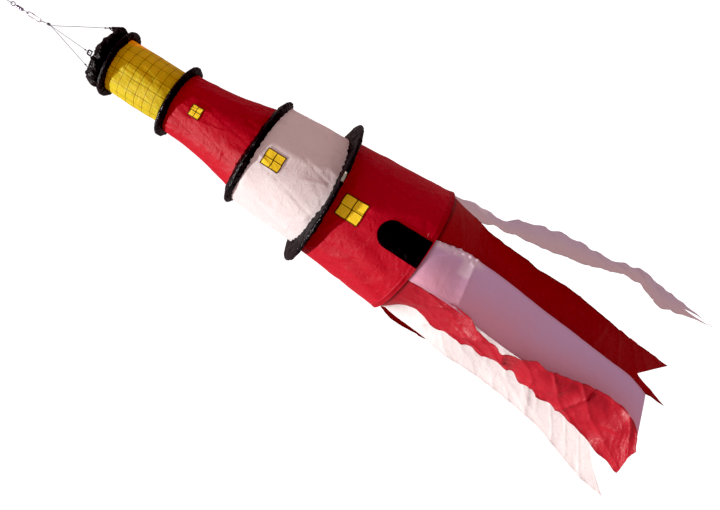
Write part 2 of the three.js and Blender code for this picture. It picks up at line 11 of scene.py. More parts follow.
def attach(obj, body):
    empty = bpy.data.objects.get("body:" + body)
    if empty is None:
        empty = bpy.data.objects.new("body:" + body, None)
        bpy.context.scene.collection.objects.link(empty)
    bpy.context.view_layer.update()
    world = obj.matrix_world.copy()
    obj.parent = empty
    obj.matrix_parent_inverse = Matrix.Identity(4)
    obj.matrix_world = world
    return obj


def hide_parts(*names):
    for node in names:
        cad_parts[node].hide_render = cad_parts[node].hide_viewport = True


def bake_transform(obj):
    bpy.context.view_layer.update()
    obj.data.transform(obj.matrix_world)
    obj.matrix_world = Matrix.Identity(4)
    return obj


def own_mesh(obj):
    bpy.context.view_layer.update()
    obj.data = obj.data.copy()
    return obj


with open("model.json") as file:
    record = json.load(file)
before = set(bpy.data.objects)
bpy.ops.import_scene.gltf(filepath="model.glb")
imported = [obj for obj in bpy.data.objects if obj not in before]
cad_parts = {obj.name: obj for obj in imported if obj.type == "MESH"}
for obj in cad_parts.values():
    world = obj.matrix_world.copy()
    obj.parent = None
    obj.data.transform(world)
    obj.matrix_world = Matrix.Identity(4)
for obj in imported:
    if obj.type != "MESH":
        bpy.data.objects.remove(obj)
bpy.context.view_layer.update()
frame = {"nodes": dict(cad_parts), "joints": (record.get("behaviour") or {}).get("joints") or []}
MM = 0.001
SCENE = bpy.context.scene

# ------------------------------------------------------------------ camera
# the view from the front, rolled so that the sock lies across the picture
cam_data = bpy.data.cameras.new("camera")
cam_data.lens, cam_data.sensor_width = 30.0, 36.0
cam_data.clip_start, cam_data.clip_end = 0.02, 60.0
camera = bpy.data.objects.new("camera", cam_data)
SCENE.collection.objects.link(camera)
fwd = Vector((-0.0414, 0.9859, -0.1623)).normalized()
up = Vector((0.8462, 0.1209, 0.5190))
right = fwd.cross(up).normalized()
up = right.cross(fwd).normalized()
camera.matrix_world = Matrix((
    (right.x, up.x, -fwd.x, -0.0061),
    (right.y, up.y, -fwd.y, -1.1318),
    (right.z, up.z, -fwd.z, -0.5994),
    (0, 0, 0, 1)))
SCENE.camera = camera
bpy.context.view_layer.update()

# ------------------------------------------------------------------ the sock's dimensions (mm)
AX = 9.0
RINGS = [
    dict(z=-241.0, out=62.6, half=6.5, above=49.2, below=49.0, tx=0.0, ty=0.0, ferrule=172.5),
    dict(z=-358.7, out=70.5, half=7.5, above=50.5, below=57.8, tx=-0.0253, ty=-0.0405, ferrule=-172.5),
    dict(z=-524.8, out=108.2, half=10.5, above=86.5, below=98.6, tx=-0.0377, ty=-0.0573, ferrule=165),
    dict(z=-662.5, out=144.0, half=10.5, above=109.0, below=111.6, tx=0.0437, ty=0.0794, ferrule=15.5),
]
BASE = dict(z=-865.0, r=133.0, tx=-0.0417, ty=-0.026)
FLAT = 16.0
LEVELS = [(0, 0, 0), (-225, 0, 0)]
for _r in RINGS:
    LEVELS += [(_r["z"] + FLAT, _r["tx"], _r["ty"]), (_r["z"] - FLAT, _r["tx"], _r["ty"])]
LEVELS += [(BASE["z"] + FLAT, BASE["tx"], BASE["ty"]), (BASE["z"] - FLAT, BASE["tx"], BASE["ty"]), (-960, 0, 0), (-3000, 0, 0)]
_lz = np.array([l[0] for l in LEVELS][::-1], float)
_lx = np.array([l[1] for l in LEVELS][::-1], float)
_ly = np.array([l[2] for l in LEVELS][::-1], float)
BOW = [0.6, -5.0, 0.5, 1.0]
MOUTH_Z, MOUTH_TY, MOUTH_R = -205.0, 0.18, 48.0
BRIDLE_AT = [-13, 107, -133]
KNOT = np.array([2.5, 0, -109.5])


def tilt(z):
    return np.interp(z, _lz, _lx), np.interp(z, _lz, _ly)


def lean(x, y, z):
    """A point of the straight sock, moved to where it hangs."""
    tx, ty = tilt(z)
    return np.stack([x + AX, y, z + tx * x + ty * y], -1)


def panel_ends(k):
    z0 = RINGS[k]["z"] - 1
    if k == 3:
        return z0, BASE["z"], RINGS[3]["below"], BASE["r"]
    return z0, RINGS[k + 1]["z"] + 1, RINGS[k]["below"], RINGS[k + 1]["above"]


def panel_radius(k, z):
    z0, z1, r0, r1 = panel_ends(k)
    t = np.clip((z0 - z) / (z0 - z1), 0, 1)
    return r0 + (r1 - r0) * t + BOW[k] * np.sin(np.pi * t)


def smooth(t):
    t = np.clip(t, 0, 1)
    return t * t * (3 - 2 * t)


# ------------------------------------------------------------------ cloth irregularity
def waves(seed, m_low, m_high, k_low, k_high, count=14, slant=0.0):
    """A smooth random field over bearing (radians, periodic) and height (mm)."""
    g = np.random.default_rng(seed)
    m = g.integers(m_low, m_high + 1, count)
    k = g.uniform(k_low, k_high, count) * np.where(g.random(count) < 0.5 + slant / 2, 1, -1)
    ph = g.uniform(0, 2 * np.pi, count)
    a = g.uniform(0.6, 1.0, count)
    a /= math.sqrt((a * a).sum() / 2)

    def f(theta, z):
        out = np.zeros(np.broadcast(theta, z).shape)
        for i in range(count):
            out += a[i] * np.cos(m[i] * theta + k[i] * z + ph[i])
        return out

    return f


def ridges(f, sharp=2.5):
    """Creases where a random field crosses zero."""
    def g(theta, z):
        return np.exp(-np.abs(f(theta, z)) * sharp)
    return g


PANEL_FOLDS = []
for _k in range(4):
    PANEL_FOLDS.append(dict(
        long=waves(11 + _k, 2, 7, 0.004, 0.022, 10, 0.6),
        crease=ridges(waves(31 + _k, 3, 10, 0.010, 0.045, 12, 0.5), 3.0),
        crease2=ridges(waves(131 + _k, 2, 7, 0.008, 0.03, 10, -0.8), 4.0),
        fine=waves(51 + _k, 9, 26, 0.03, 0.13, 22),
        gather=waves(71 + _k, 22, 46, 0.0, 0.02, 16),
        gather2=waves(91 + _k, 9, 20, 0.0, 0.02, 12),
    ))
# single folds: bearing, its change with height, height up the sock, how high, how wide, how tall
BUMPS = [
    [(3, 0.11, -299, 1.5, 6.5, 70)],
    [(11, 0.0, -430, 2.2, 13, 60), (-14, 0.05, -430, 1.6, 12, 60), (-38, -0.02, -460, 1.6, 13, 50)],
    [(16, -0.10, -590, 2.6, 12, 60), (-20, 0.2, -600, 1.6, 14, 40)],
    [(13, 0.05, -716, 4.2, 15, 34), (-26, 0.05, -770, 3.0, 16, 60), (-50, 0.1, -800, 3.0, 14, 60)],
]
FOLD_SIZE = [0.62, 0.62, 1.05, 0.85]


def panel_folds(k, theta, z):
    """How far the cloth of panel k stands off its smooth shape, in mm."""
    z0, z1, _, _ = panel_ends(k)
    f, size = PANEL_FOLDS[k], FOLD_SIZE[k]
    t = np.clip((z0 - z) / (z0 - z1), 0, 1)
    held = smooth(t / 0.13) * smooth((1 - t) / (0.13 if k < 3 else 0.05))
    near_top = np.exp(-(z0 - z).clip(0) / 16.0)
    near_end = np.exp(-(z - z1).clip(0) / 16.0) * (1.0 if k < 3 else 0.25)
    near = np.maximum(near_top, near_end)
    out = held * size * (0.75 * f["long"](theta, z) + 1.5 * f["crease"](theta, z) - 1.1 * f["crease2"](theta, z) + 0.16 * f["fine"](theta, z))
    deg = np.degrees((theta + np.pi) % (2 * np.pi) - np.pi)
    mid = panel_radius(k, z)
    for at, slope, zc, high, wide, tall in BUMPS[k]:
        a = (deg - at - slope * (z - zc)) * np.pi / 180 * mid
        out = out + held * high * np.exp(-np.abs(a) / wide if wide < 9 else -(a / wide) ** 2) * np.exp(-((z - zc) / tall) ** 2)
    ring = smooth((z0 - z) / 7.0) * (smooth((z - z1) / 7.0) if k < 3 else 1.0)
    out = out + ring * near * (0.42 * f["gather"](theta, z) + 0.5 * f["gather2"](theta, z)) * (0.55 if k == 0 else 1.0)
    return out


def panel_point(k, theta, z, off=0.0):
    """A point on panel k's cloth at a bearing and a real height (mm), off mm proud of it."""
    theta, z = np.broadcast_arrays(np.asarray(theta, float), np.asarray(z, float))
    s, c = np.sin(theta), -np.cos(theta)
    zc = z.copy()
    for _ in range(5):
        r = panel_radius(k, zc)
        tx, ty = tilt(zc)
        zc = z - tx * r * s - ty * r * c
    r = panel_radius(k, zc) - 0.45 + panel_folds(k, theta, zc) + off
    return np.stack([AX + r * s, r * c, z], -1)


# ------------------------------------------------------------------ meshes
def link(name, me):
    ob = bpy.data.objects.new(name, me)
    SCENE.collection.objects.link(ob)
    return ob


def mesh_object(name, verts, faces, normals=None, uv=None, mats=(), face_mat=None, attrs=None):
    """verts in mm."""
    me = bpy.data.meshes.new(name)
    me.from_pydata((np.asarray(verts) * MM).tolist(), [], [tuple(int(i) for i in f) for f in faces])
    me.polygons.foreach_set("use_smooth", np.ones(len(me.polygons), bool))
    for m in mats:
        me.materials.append(m)
    if face_mat is not None:
        me.polygons.foreach_set("material_index", np.asarray(face_mat, np.int32))
    loops = np.zeros(len(me.loops), np.int32)
    me.loops.foreach_get("vertex_index", loops)
    for label, data in (uv or {}).items():
        layer = me.uv_layers.new(name=label)
        layer.data.foreach_set("uv", np.asarray(data, np.float32)[loops].ravel())
    for label, data in (attrs or {}).items():
        a = me.attributes.new(label, "FLOAT", "POINT")
        a.data.foreach_set("value", np.asarray(data, np.float32))
    me.update()
    me.validate()
    if normals is not None:
        n = np.asarray(normals, float)
        n /= np.maximum(np.linalg.norm(n, axis=1), 1e-12)[:, None]
        me.normals_split_custom_set_from_vertices(n.tolist())
    return link(name, me)


def grid_normals(P, closed):
    du = np.gradient(P, axis=0)
    if closed:
        dv = (np.roll(P, -1, 1) - np.roll(P, 1, 1)) / 2
    else:
        dv = np.gradient(P, axis=1)
    n = np.cross(du, dv)
    return n / np.maximum(np.linalg.norm(n, axis=-1), 1e-12)[..., None]


def cloth(name, P, thick, closed=False, N=None, keep=None, uv=None, hem=None, mats=(), attrs=None, cell_mat=None, flip=False):
    """A thin closed solid round a grid of middle points P (rows, columns, 3), in mm.
    keep says which cells are there. The outer face looks along the grid's normal."""
    rows, cols = P.shape[:2]
    if N is None:
        N = grid_normals(P, closed)
    if flip:
        N = -N
    nc = cols if closed else cols - 1
    if keep is None:
        keep = np.ones((rows - 1, nc), bool)
    top, bottom = P + N * thick / 2, P - N * thick / 2
    idx = lambda i, j: i * cols + (j % cols)
    n = rows * cols
    faces, mat = [], []
    for i in range(rows - 1):
        for j in range(nc):
            if not keep[i, j]:
                continue
            a, b, c, d = idx(i, j), idx(i + 1, j), idx(i + 1, j + 1), idx(i, j + 1)
            m = 0 if cell_mat is None else cell_mat[i, j]
            q = (a, b, c, d) if not flip else (d, c, b, a)
            faces.append(q)
            faces.append(tuple(x + n for x in q[::-1]))
            mat += [m, m]
            for (e, f), (ii, jj) in (((b, a), (i, j - 1)), ((c, b), (i + 1, j)), ((d, c), (i, j + 1)), ((a, d), (i - 1, j))):
                if closed:
                    jj %= cols
                gone = ii < 0 or ii >= rows - 1 or jj < 0 or jj >= nc or not keep[ii, jj]
                if gone:
                    r = (e, f, f + n, e + n) if not flip else (f, e, e + n, f + n)
                    faces.append(r)
                    mat.append(m)
    V = np.concatenate([top.reshape(-1, 3), bottom.reshape(-1, 3)])
    NN = np.concatenate([N.reshape(-1, 3), -N.reshape(-1, 3)])
    used = np.zeros(len(V), bool)
    used[np.unique(np.concatenate([np.asarray(f) for f in faces]))] = True
    new = np.cumsum(used) - 1
    faces = [tuple(new[list(f)]) for f in faces]
    UV = {}
    for label, data in (("UVMap", uv), ("Hem", hem)):
        if data is not None:
            d = data.reshape(-1, 2)
            UV[label] = np.concatenate([d, d])[used]
    A = {}
    for label, data in (attrs or {}).items():
        d = np.asarray(data).reshape(-1)
        A[label] = np.concatenate([d, d])[used]
    return mesh_object(name, V[used], faces, NN[used], UV, mats, mat, A)


def tube_mesh(points, radius, sides=12, twist=0.0, groove=0.0, strands=3, cap=True):
    """Vertices and faces of a tube along points (mm). A groove winds round it like laid rope."""
    p = np.asarray(points, float)
    t = np.gradient(p, axis=0)
    t /= np.linalg.norm(t, axis=1)[:, None]
    n = np.cross(t[0], [0.31, 0.52, 0.79])
    n /= np.linalg.norm(n)
    s = np.concatenate([[0], np.cumsum(np.linalg.norm(np.diff(p, axis=0), axis=1))])
    ph = np.linspace(0, 2 * np.pi, sides, endpoint=False)
    verts = []
    for i in range(len(p)):
        n = n - t[i] * (n @ t[i])
        n /= np.linalg.norm(n)
        b = np.cross(t[i], n)
        r = np.full(sides, radius if np.isscalar(radius) else radius[i], float)
        if groove:
            r *= 1 - groove * (1 - np.abs(np.cos(strands * (ph - twist * s[i]) / 2)) ** 0.7)
        verts.append(p[i] + r[:, None] * (np.cos(ph)[:, None] * n + np.sin(ph)[:, None] * b))
    verts = np.concatenate(verts)
    faces = []
    for i in range(len(p) - 1):
        for j in range(sides):
            a, b = i * sides + j, i * sides + (j + 1) % sides
            faces.append((a, b, b + sides, a + sides))
    if cap:
        faces.append(tuple(range(sides))[::-1])
        faces.append(tuple((len(p) - 1) * sides + j for j in range(sides)))
    uv = np.stack([np.tile(ph / (2 * np.pi), len(p)), np.repeat(s * MM, sides)], -1)
    return verts, faces, uv


def spline(points, step):
    """Points about step apart along a smooth curve through points (centripetal Catmull-Rom)."""
    p = [np.asarray(q, float) for q in points]
    p = [2 * p[0] - p[1]] + p + [2 * p[-1] - p[-2]]
    out = []
    for i in range(1, len(p) - 2):
        p0, p1, p2, p3 = p[i - 1:i + 3]
        d = [max(np.linalg.norm(b - a) ** 0.5, 1e-6) for a, b in ((p0, p1), (p1, p2), (p2, p3))]
        t0, t1, t2, t3 = 0, d[0], d[0] + d[1], d[0] + d[1] + d[2]
        n = max(2, int(math.ceil(np.linalg.norm(p2 - p1) / step)))
        for t in np.linspace(t1, t2, n, endpoint=False):
            a1 = p0 * (t1 - t) / (t1 - t0) + p1 * (t - t0) / (t1 - t0)
            a2 = p1 * (t2 - t) / (t2 - t1) + p2 * (t - t1) / (t2 - t1)
            a3 = p2 * (t3 - t) / (t3 - t2) + p3 * (t - t2) / (t3 - t2)
            b1 = a1 * (t2 - t) / (t2 - t0) + a2 * (t - t0) / (t2 - t0)
            b2 = a2 * (t3 - t) / (t3 - t1) + a3 * (t - t1) / (t3 - t1)
            out.append(b1 * (t2 - t) / (t2 - t1) + b2 * (t - t1) / (t2 - t1))
    out.append(p[-2])
    return np.array(out)


def curve_at(points, s):
    """The same curve as the CAD's edges: centripetal Catmull-Rom through points, at shares s."""
    p = np.asarray(points, float)
    n = len(p)
    ext = np.vstack([2 * p[0] - p[1], p, 2 * p[-1] - p[-2]])
    s = np.clip(np.asarray(s, float), 0, 1) * (n - 1)
    i = np.minimum(s.astype(int), n - 2)
    w = (s - i)[..., None]
    p0, p1, p2, p3 = ext[i], ext[i + 1], ext[i + 2], ext[i + 3]
    d = lambda a, b: np.maximum(np.linalg.norm(b - a, axis=-1, keepdims=True) ** 0.5, 1e-4)
    d0, d1, d2 = d(p0, p1), d(p1, p2), d(p2, p3)
    m1 = (p1 - p0) / d0 - (p2 - p0) / (d0 + d1) + (p2 - p1) / d1
    m2 = (p2 - p1) / d1 - (p3 - p1) / (d1 + d2) + (p3 - p2) / d2
    m1, m2 = m1 * d1, m2 * d1
    return (2 * w**3 - 3 * w**2 + 1) * p1 + (w**3 - 2 * w**2 + w) * m1 + (-2 * w**3 + 3 * w**2) * p2 + (w**3 - w**2) * m2


# ------------------------------------------------------------------ materials
class Nodes:
    def __init__(self, mat):
        self.tree = mat.node_tree
        self.tree.nodes.clear()

    def add(self, kind, inputs=None, **props):
        n = self.tree.nodes.new(kind)
        for k, v in props.items():
            setattr(n, k, v)
        for k, v in (inputs or {}).items():
            self.set(n.inputs[k], v)
        return n

    def set(self, socket, v):
        if isinstance(v, bpy.types.NodeSocket):
            self.tree.links.new(v, socket)
        elif hasattr(v, "__len__") and len(v) == 3 and socket.type == "RGBA":
            socket.default_value = (*v, 1.0)
        else:
            socket.default_value = v

    def math(self, op, a, b=0.0, c=0.0, clamp=False):
        n = self.add("ShaderNodeMath", operation=op, use_clamp=clamp)
        self.set(n.inputs[0], a)
        self.set(n.inputs[1], b)
        self.set(n.inputs[2], c)
        return n.outputs[0]

    def mix(self, f, a, b, mode="MIX"):
        n = self.add("ShaderNodeMix", data_type="RGBA", blend_type=mode)
        self.set(n.inputs[0], f)
        self.set(n.inputs[6], a)
        self.set(n.inputs[7], b)
        return n.outputs[2]

    def step(self, v, lo, hi):
        n = self.add("ShaderNodeMapRange", interpolation_type="SMOOTHSTEP")
        self.set(n.inputs[0], v)
        n.inputs[1].default_value, n.inputs[2].default_value = lo, hi
        return n.outputs[0]

    def noise(self, vec, scale, detail=3.0, rough=0.55, distort=0.0):
        n = self.add("ShaderNodeTexNoise", {"Scale": scale, "Detail": detail, "Roughness": rough, "Distortion": distort})
        self.tree.links.new(vec, n.inputs["Vector"])
        return n.outputs[0]

    def object_vector(self, sx=1.0, sy=1.0, sz=1.0):
        t = self.add("ShaderNodeTexCoord")
        m = self.add("ShaderNodeMapping")
        self.tree.links.new(t.outputs["Object"], m.inputs[0])
        m.inputs["Scale"].default_value = (sx, sy, sz)
        return m.outputs[0]

    def uv(self, name="UVMap"):
        u = self.add("ShaderNodeUVMap", uv_map=name)
        s = self.add("ShaderNodeSeparateXYZ")
        self.tree.links.new(u.outputs[0], s.inputs[0])
        return u.outputs[0], s.outputs[0], s.outputs[1]

    def line(self, v, pitch, width, soft=0.35):
        """1 on lines pitch apart, width wide, along a coordinate."""
        f = self.math("FRACT", self.math("DIVIDE", v, pitch))
        d = self.math("ABSOLUTE", self.math("SUBTRACT", f, 0.5))
        half = width / pitch / 2
        return self.step(d, 0.5 - half * (1 + soft), 0.5 - half * (1 - soft))

    def attr(self, name):
        return self.add("ShaderNodeAttribute", attribute_name=name, attribute_type="GEOMETRY").outputs["Fac"]

    def bump(self, height, distance, normal=None, strength=1.0):
        b = self.add("ShaderNodeBump", {"Strength": strength, "Distance": distance})
        self.tree.links.new(height, b.inputs["Height"])
        if normal is not None:
            self.tree.links.new(normal, b.inputs["Normal"])
        return b.outputs[0]

    def finish(self, shader):
        o = self.add("ShaderNodeOutputMaterial")
        self.tree.links.new(shader, o.inputs[0])


def new_material(name):
    m = bpy.data.materials.new(name)
    m.use_nodes = True
    return m, Nodes(m)


def principled(g, color, rough, normal=None, metal=0.0, sheen=0.0, coat=0.0, spec=0.5, sheen_tint=None):
    p = g.add("ShaderNodeBsdfPrincipled")
    g.set(p.inputs["Base Color"], color)
    g.set(p.inputs["Roughness"], rough)
    p.inputs["Metallic"].default_value = metal
    g.set(p.inputs["Specular IOR Level"], spec)
    p.inputs["Sheen Weight"].default_value = sheen
    p.inputs["Sheen Roughness"].default_value = 0.4
    if sheen_tint is not None:
        p.inputs["Sheen Tint"].default_value = (*sheen_tint, 1)
    p.inputs["Coat Weight"].default_value = coat
    if normal is not None:
        g.set(p.inputs["Normal"], normal)
    return p


def nylon(name, color, deep, through, translucency=0.3, rough=0.42, sheen=0.15, crinkle=0.35, hem=None, lattice=False, stitch=(0.5, 0.5, 0.5), tint=None, uv_name="UVMap", spec=0.5, tail=False):
    """Coated ripstop nylon. color is the cloth, deep its darker threads, through what
    light takes on in passing through it. hem darkens a folded, stitched edge for its double layer; on the
    tower's foot that darkening is partly painted shade along the seam. tint paints in shade, a red glow and
    a highlight; tail paints shade where a streamer goes up into the seam."""
    m, g = new_material(name)
    vec, u, v = g.uv(uv_name)
    obj = g.object_vector()
    big = g.noise(obj, 9.0, 4.0, 0.6)
    small = g.noise(obj, 160.0, 3.0, 0.6)
    base = g.mix(g.step(big, 0.3, 0.72), color, tuple(0.86 * a + 0.14 * b for a, b in zip(color, deep)))
    # ripstop: a heavier thread every 5 mm each way, over a fine plain weave
    rip = g.math("MAXIMUM", g.line(u, 0.005, 0.00045), g.line(v, 0.005, 0.00045))
    base = g.mix(g.math("MULTIPLY", rip, 0.16), base, deep)
    weave = g.math("MULTIPLY", g.math("SINE", g.math("MULTIPLY", u, 2 * math.pi / 0.0009)), g.math("SINE", g.math("MULTIPLY", v, 2 * math.pi / 0.0009)))
    base = g.mix(g.math("MULTIPLY", g.step(weave, -0.2, 1.0), 0.07), base, deep)
    base = g.mix(g.math("MULTIPLY", g.step(small, 0.45, 0.8), 0.10), base, deep)
    if tint is not None:
        # painted shade and painted red glow: white cloth coloured as if in shade with the red behind it shining
        # through, more towards its lower edge
        share, low, high = tint
        t = g.math("ADD", g.attr("across"), g.math("MULTIPLY", g.math("SUBTRACT", big, 0.5), 0.7), clamp=True)
        base = g.mix(g.math("MULTIPLY", share, 1.0), base, g.mix(g.step(t, 0.05, 0.95), low, high))
    if lattice:
        # the lantern's glazing bars, printed
        wob = g.math("MULTIPLY", g.math("SUBTRACT", g.noise(obj, 35.0, 2.0), 0.5), 0.0030)
        uu, vv = g.math("ADD", u, wob), g.math("ADD", v, wob)
        bars = g.math("MAXIMUM", g.line(uu, 0.0209, 0.0011, 0.7), g.line(vv, 0.0158, 0.0010, 0.7))
        thin = g.math("MAXIMUM", g.line(g.math("ADD", uu, 0.0052), 0.01045, 0.0006, 0.8), g.line(g.math("ADD", vv, 0.004), 0.0079, 0.0005, 0.8))
        worn = g.step(g.noise(obj, 55.0, 3.0), 0.34, 0.6)
        ink = g.math("MAXIMUM", g.math("MULTIPLY", bars, g.math("ADD", g.math("MULTIPLY", worn, 0.35), 0.55)), g.math("MULTIPLY", g.math("MULTIPLY", thin, worn), 0.30))
        base = g.mix(ink, base, (0.10, 0.045, 0.006))
    if tint is not None:
        # painted highlight where the crumpled edge below the seam catches the light
        base = g.mix(g.math("MULTIPLY", g.attr("painted_highlight"), 0.55), base, (0.84, 0.76, 0.80))
    if tail:
        # painted shade where the streamer goes up into the seam under the tower's foot
        base = g.mix(g.math("MULTIPLY", g.attr("root"), 0.8), base, tuple(0.5 * q for q in deep))
    height = g.math("ADD", g.math("MULTIPLY", rip, 0.35), g.math("MULTIPLY", weave, 0.12))
    if hem is not None:
        _, e, along = g.uv("Hem")
        fold = g.step(e, hem, hem * 0.86)      # 1 inside the folded edge
        # darker inside the fold for its double layer; on the tower's foot partly painted shade along the seam
        base = g.mix(g.math("MULTIPLY", fold, 0.30), base, deep)
        dash = g.math("MULTIPLY", g.line(along, 0.0026, 0.0016, 0.2), g.line(g.math("ADD", e, hem * 0.5 - hem * 0.78), hem, 0.0005, 0.3))
        dash = g.math("MULTIPLY", dash, g.step(e, hem * 1.1, hem))
        base = g.mix(g.math("MULTIPLY", dash, 0.75), base, stitch)
        height = g.math("ADD", height, g.math("ADD", g.math("MULTIPLY", fold, 0.9), g.math("MULTIPLY", dash, 0.5)))
    n1 = g.bump(height, 0.00022)
    crump = g.noise(obj, 48.0, 5.0, 0.6, 0.6)
    n2 = g.bump(g.math("ABSOLUTE", g.math("SUBTRACT", crump, 0.5)), 0.0040 * crinkle, n1)
    n3 = g.bump(g.noise(obj, 19.0, 3.0, 0.5, 0.8), 0.0048 * crinkle, n2)
    r = g.math("ADD", rough, g.math("MULTIPLY", g.math("SUBTRACT", small, 0.5), 0.16))
    p = principled(g, base, r, n3, sheen=sheen, spec=min(1.0, 2 * spec))
    flat = g.add("ShaderNodeBsdfDiffuse", {"Color": base, "Normal": n3})
    front = g.add("ShaderNodeMixShader", {0: 0.5})
    g.tree.links.new(p.outputs[0], front.inputs[1])
    g.tree.links.new(flat.outputs[0], front.inputs[2])
    t = g.add("ShaderNodeBsdfTranslucent")
    g.set(t.inputs["Color"], g.mix(0.75, base, through))
    g.set(t.inputs["Normal"], n3)
    mixer = g.add("ShaderNodeMixShader")
    g.set(mixer.inputs[0], translucency)
    g.tree.links.new(front.outputs[0], mixer.inputs[1])
    g.tree.links.new(t.outputs[0], mixer.inputs[2])
    g.finish(mixer.outputs[0])
    return m


def black_nylon(name, rough=0.36, gloss=0.55, crinkle=1.0):
    m, g = new_material(name)
    vec, u, v = g.uv()
    obj = g.object_vector()
    small = g.noise(obj, 210.0, 3.0, 0.6)
    weave = g.math("MULTIPLY", g.math("SINE", g.math("MULTIPLY", u, 2 * math.pi / 0.0010)), g.math("SINE", g.math("MULTIPLY", v, 2 * math.pi / 0.0010)))
    rip = g.math("MAXIMUM", g.line(u, 0.005, 0.0005), g.line(v, 0.005, 0.0005))
    base = g.mix(g.step(small, 0.35, 0.75), (0.004, 0.0028, 0.0036), (0.010, 0.008, 0.010))
    base = g.mix(g.math("MULTIPLY", rip, 0.4), base, (0.018, 0.015, 0.018))
    n1 = g.bump(g.math("ADD", g.math("MULTIPLY", weave, 0.2), g.math("MULTIPLY", rip, 0.4)), 0.00022)
    n2 = g.bump(g.math("ABSOLUTE", g.math("SUBTRACT", g.noise(obj, 42.0, 3.0, 0.55, 0.8), 0.5)), 0.0050 * crinkle, n1)
    r = g.math("ADD", rough, g.math("MULTIPLY", g.math("SUBTRACT", small, 0.5), 0.2))
    p = principled(g, base, r, n2, sheen=0.0, spec=gloss)
    flat = g.add("ShaderNodeBsdfDiffuse", {"Color": base, "Normal": n2})
    both = g.add("ShaderNodeMixShader", {0: 0.72})
    g.tree.links.new(p.outputs[0], both.inputs[1])
    g.tree.links.new(flat.outputs[0], both.inputs[2])
    g.finish(both.outputs[0])
    return m


def cord_material(name, a, b, pitch=0.0018):
    m, g = new_material(name)
    vec, u, v = g.uv()
    helix = g.math("SINE", g.math("ADD", g.math("MULTIPLY", u, 2 * math.pi * 3), g.math("MULTIPLY", v, 2 * math.pi / pitch)))
    fleck = g.noise(g.object_vector(), 420.0, 2.0)
    base = g.mix(g.step(helix, -0.4, 0.7), a, b)
    base = g.mix(g.math("MULTIPLY", g.step(fleck, 0.5, 0.75), 0.5), base, tuple(min(1, 2.2 * x + 0.02) for x in b))
    p = principled(g, base, 0.72, g.bump(g.math("ADD", helix, g.math("MULTIPLY", fleck, 0.8)), 0.00012), sheen=0.3)
    g.finish(p.outputs[0])
    return m


def metal(name, color, dark, rough, wear=0.3):
    m, g = new_material(name)
    obj = g.object_vector()
    patch = g.noise(obj, 260.0, 4.0, 0.6)
    scratch = g.noise(g.object_vector(1, 1, 14), 700.0, 2.0)
    base = g.mix(g.math("MULTIPLY", g.step(patch, 0.4, 0.75), wear), color, dark)
    r = g.math("ADD", rough, g.math("MULTIPLY", g.math("SUBTRACT", scratch, 0.5), 0.25))
    p = principled(g, base, r, g.bump(g.math("ADD", scratch, patch), 0.00003), metal=1.0)
    g.finish(p.outputs[0])
    return m


def fibre_rod(name):
    m, g = new_material(name)
    grain = g.noise(g.object_vector(60, 60, 900), 6.0, 4.0)
    base = g.mix(g.step(grain, 0.35, 0.7), (0.62, 0.66, 0.50), (0.80, 0.80, 0.68))
    p = principled(g, base, 0.34, g.bump(grain, 0.00006), coat=0.2)
    g.finish(p.outputs[0])
    return m


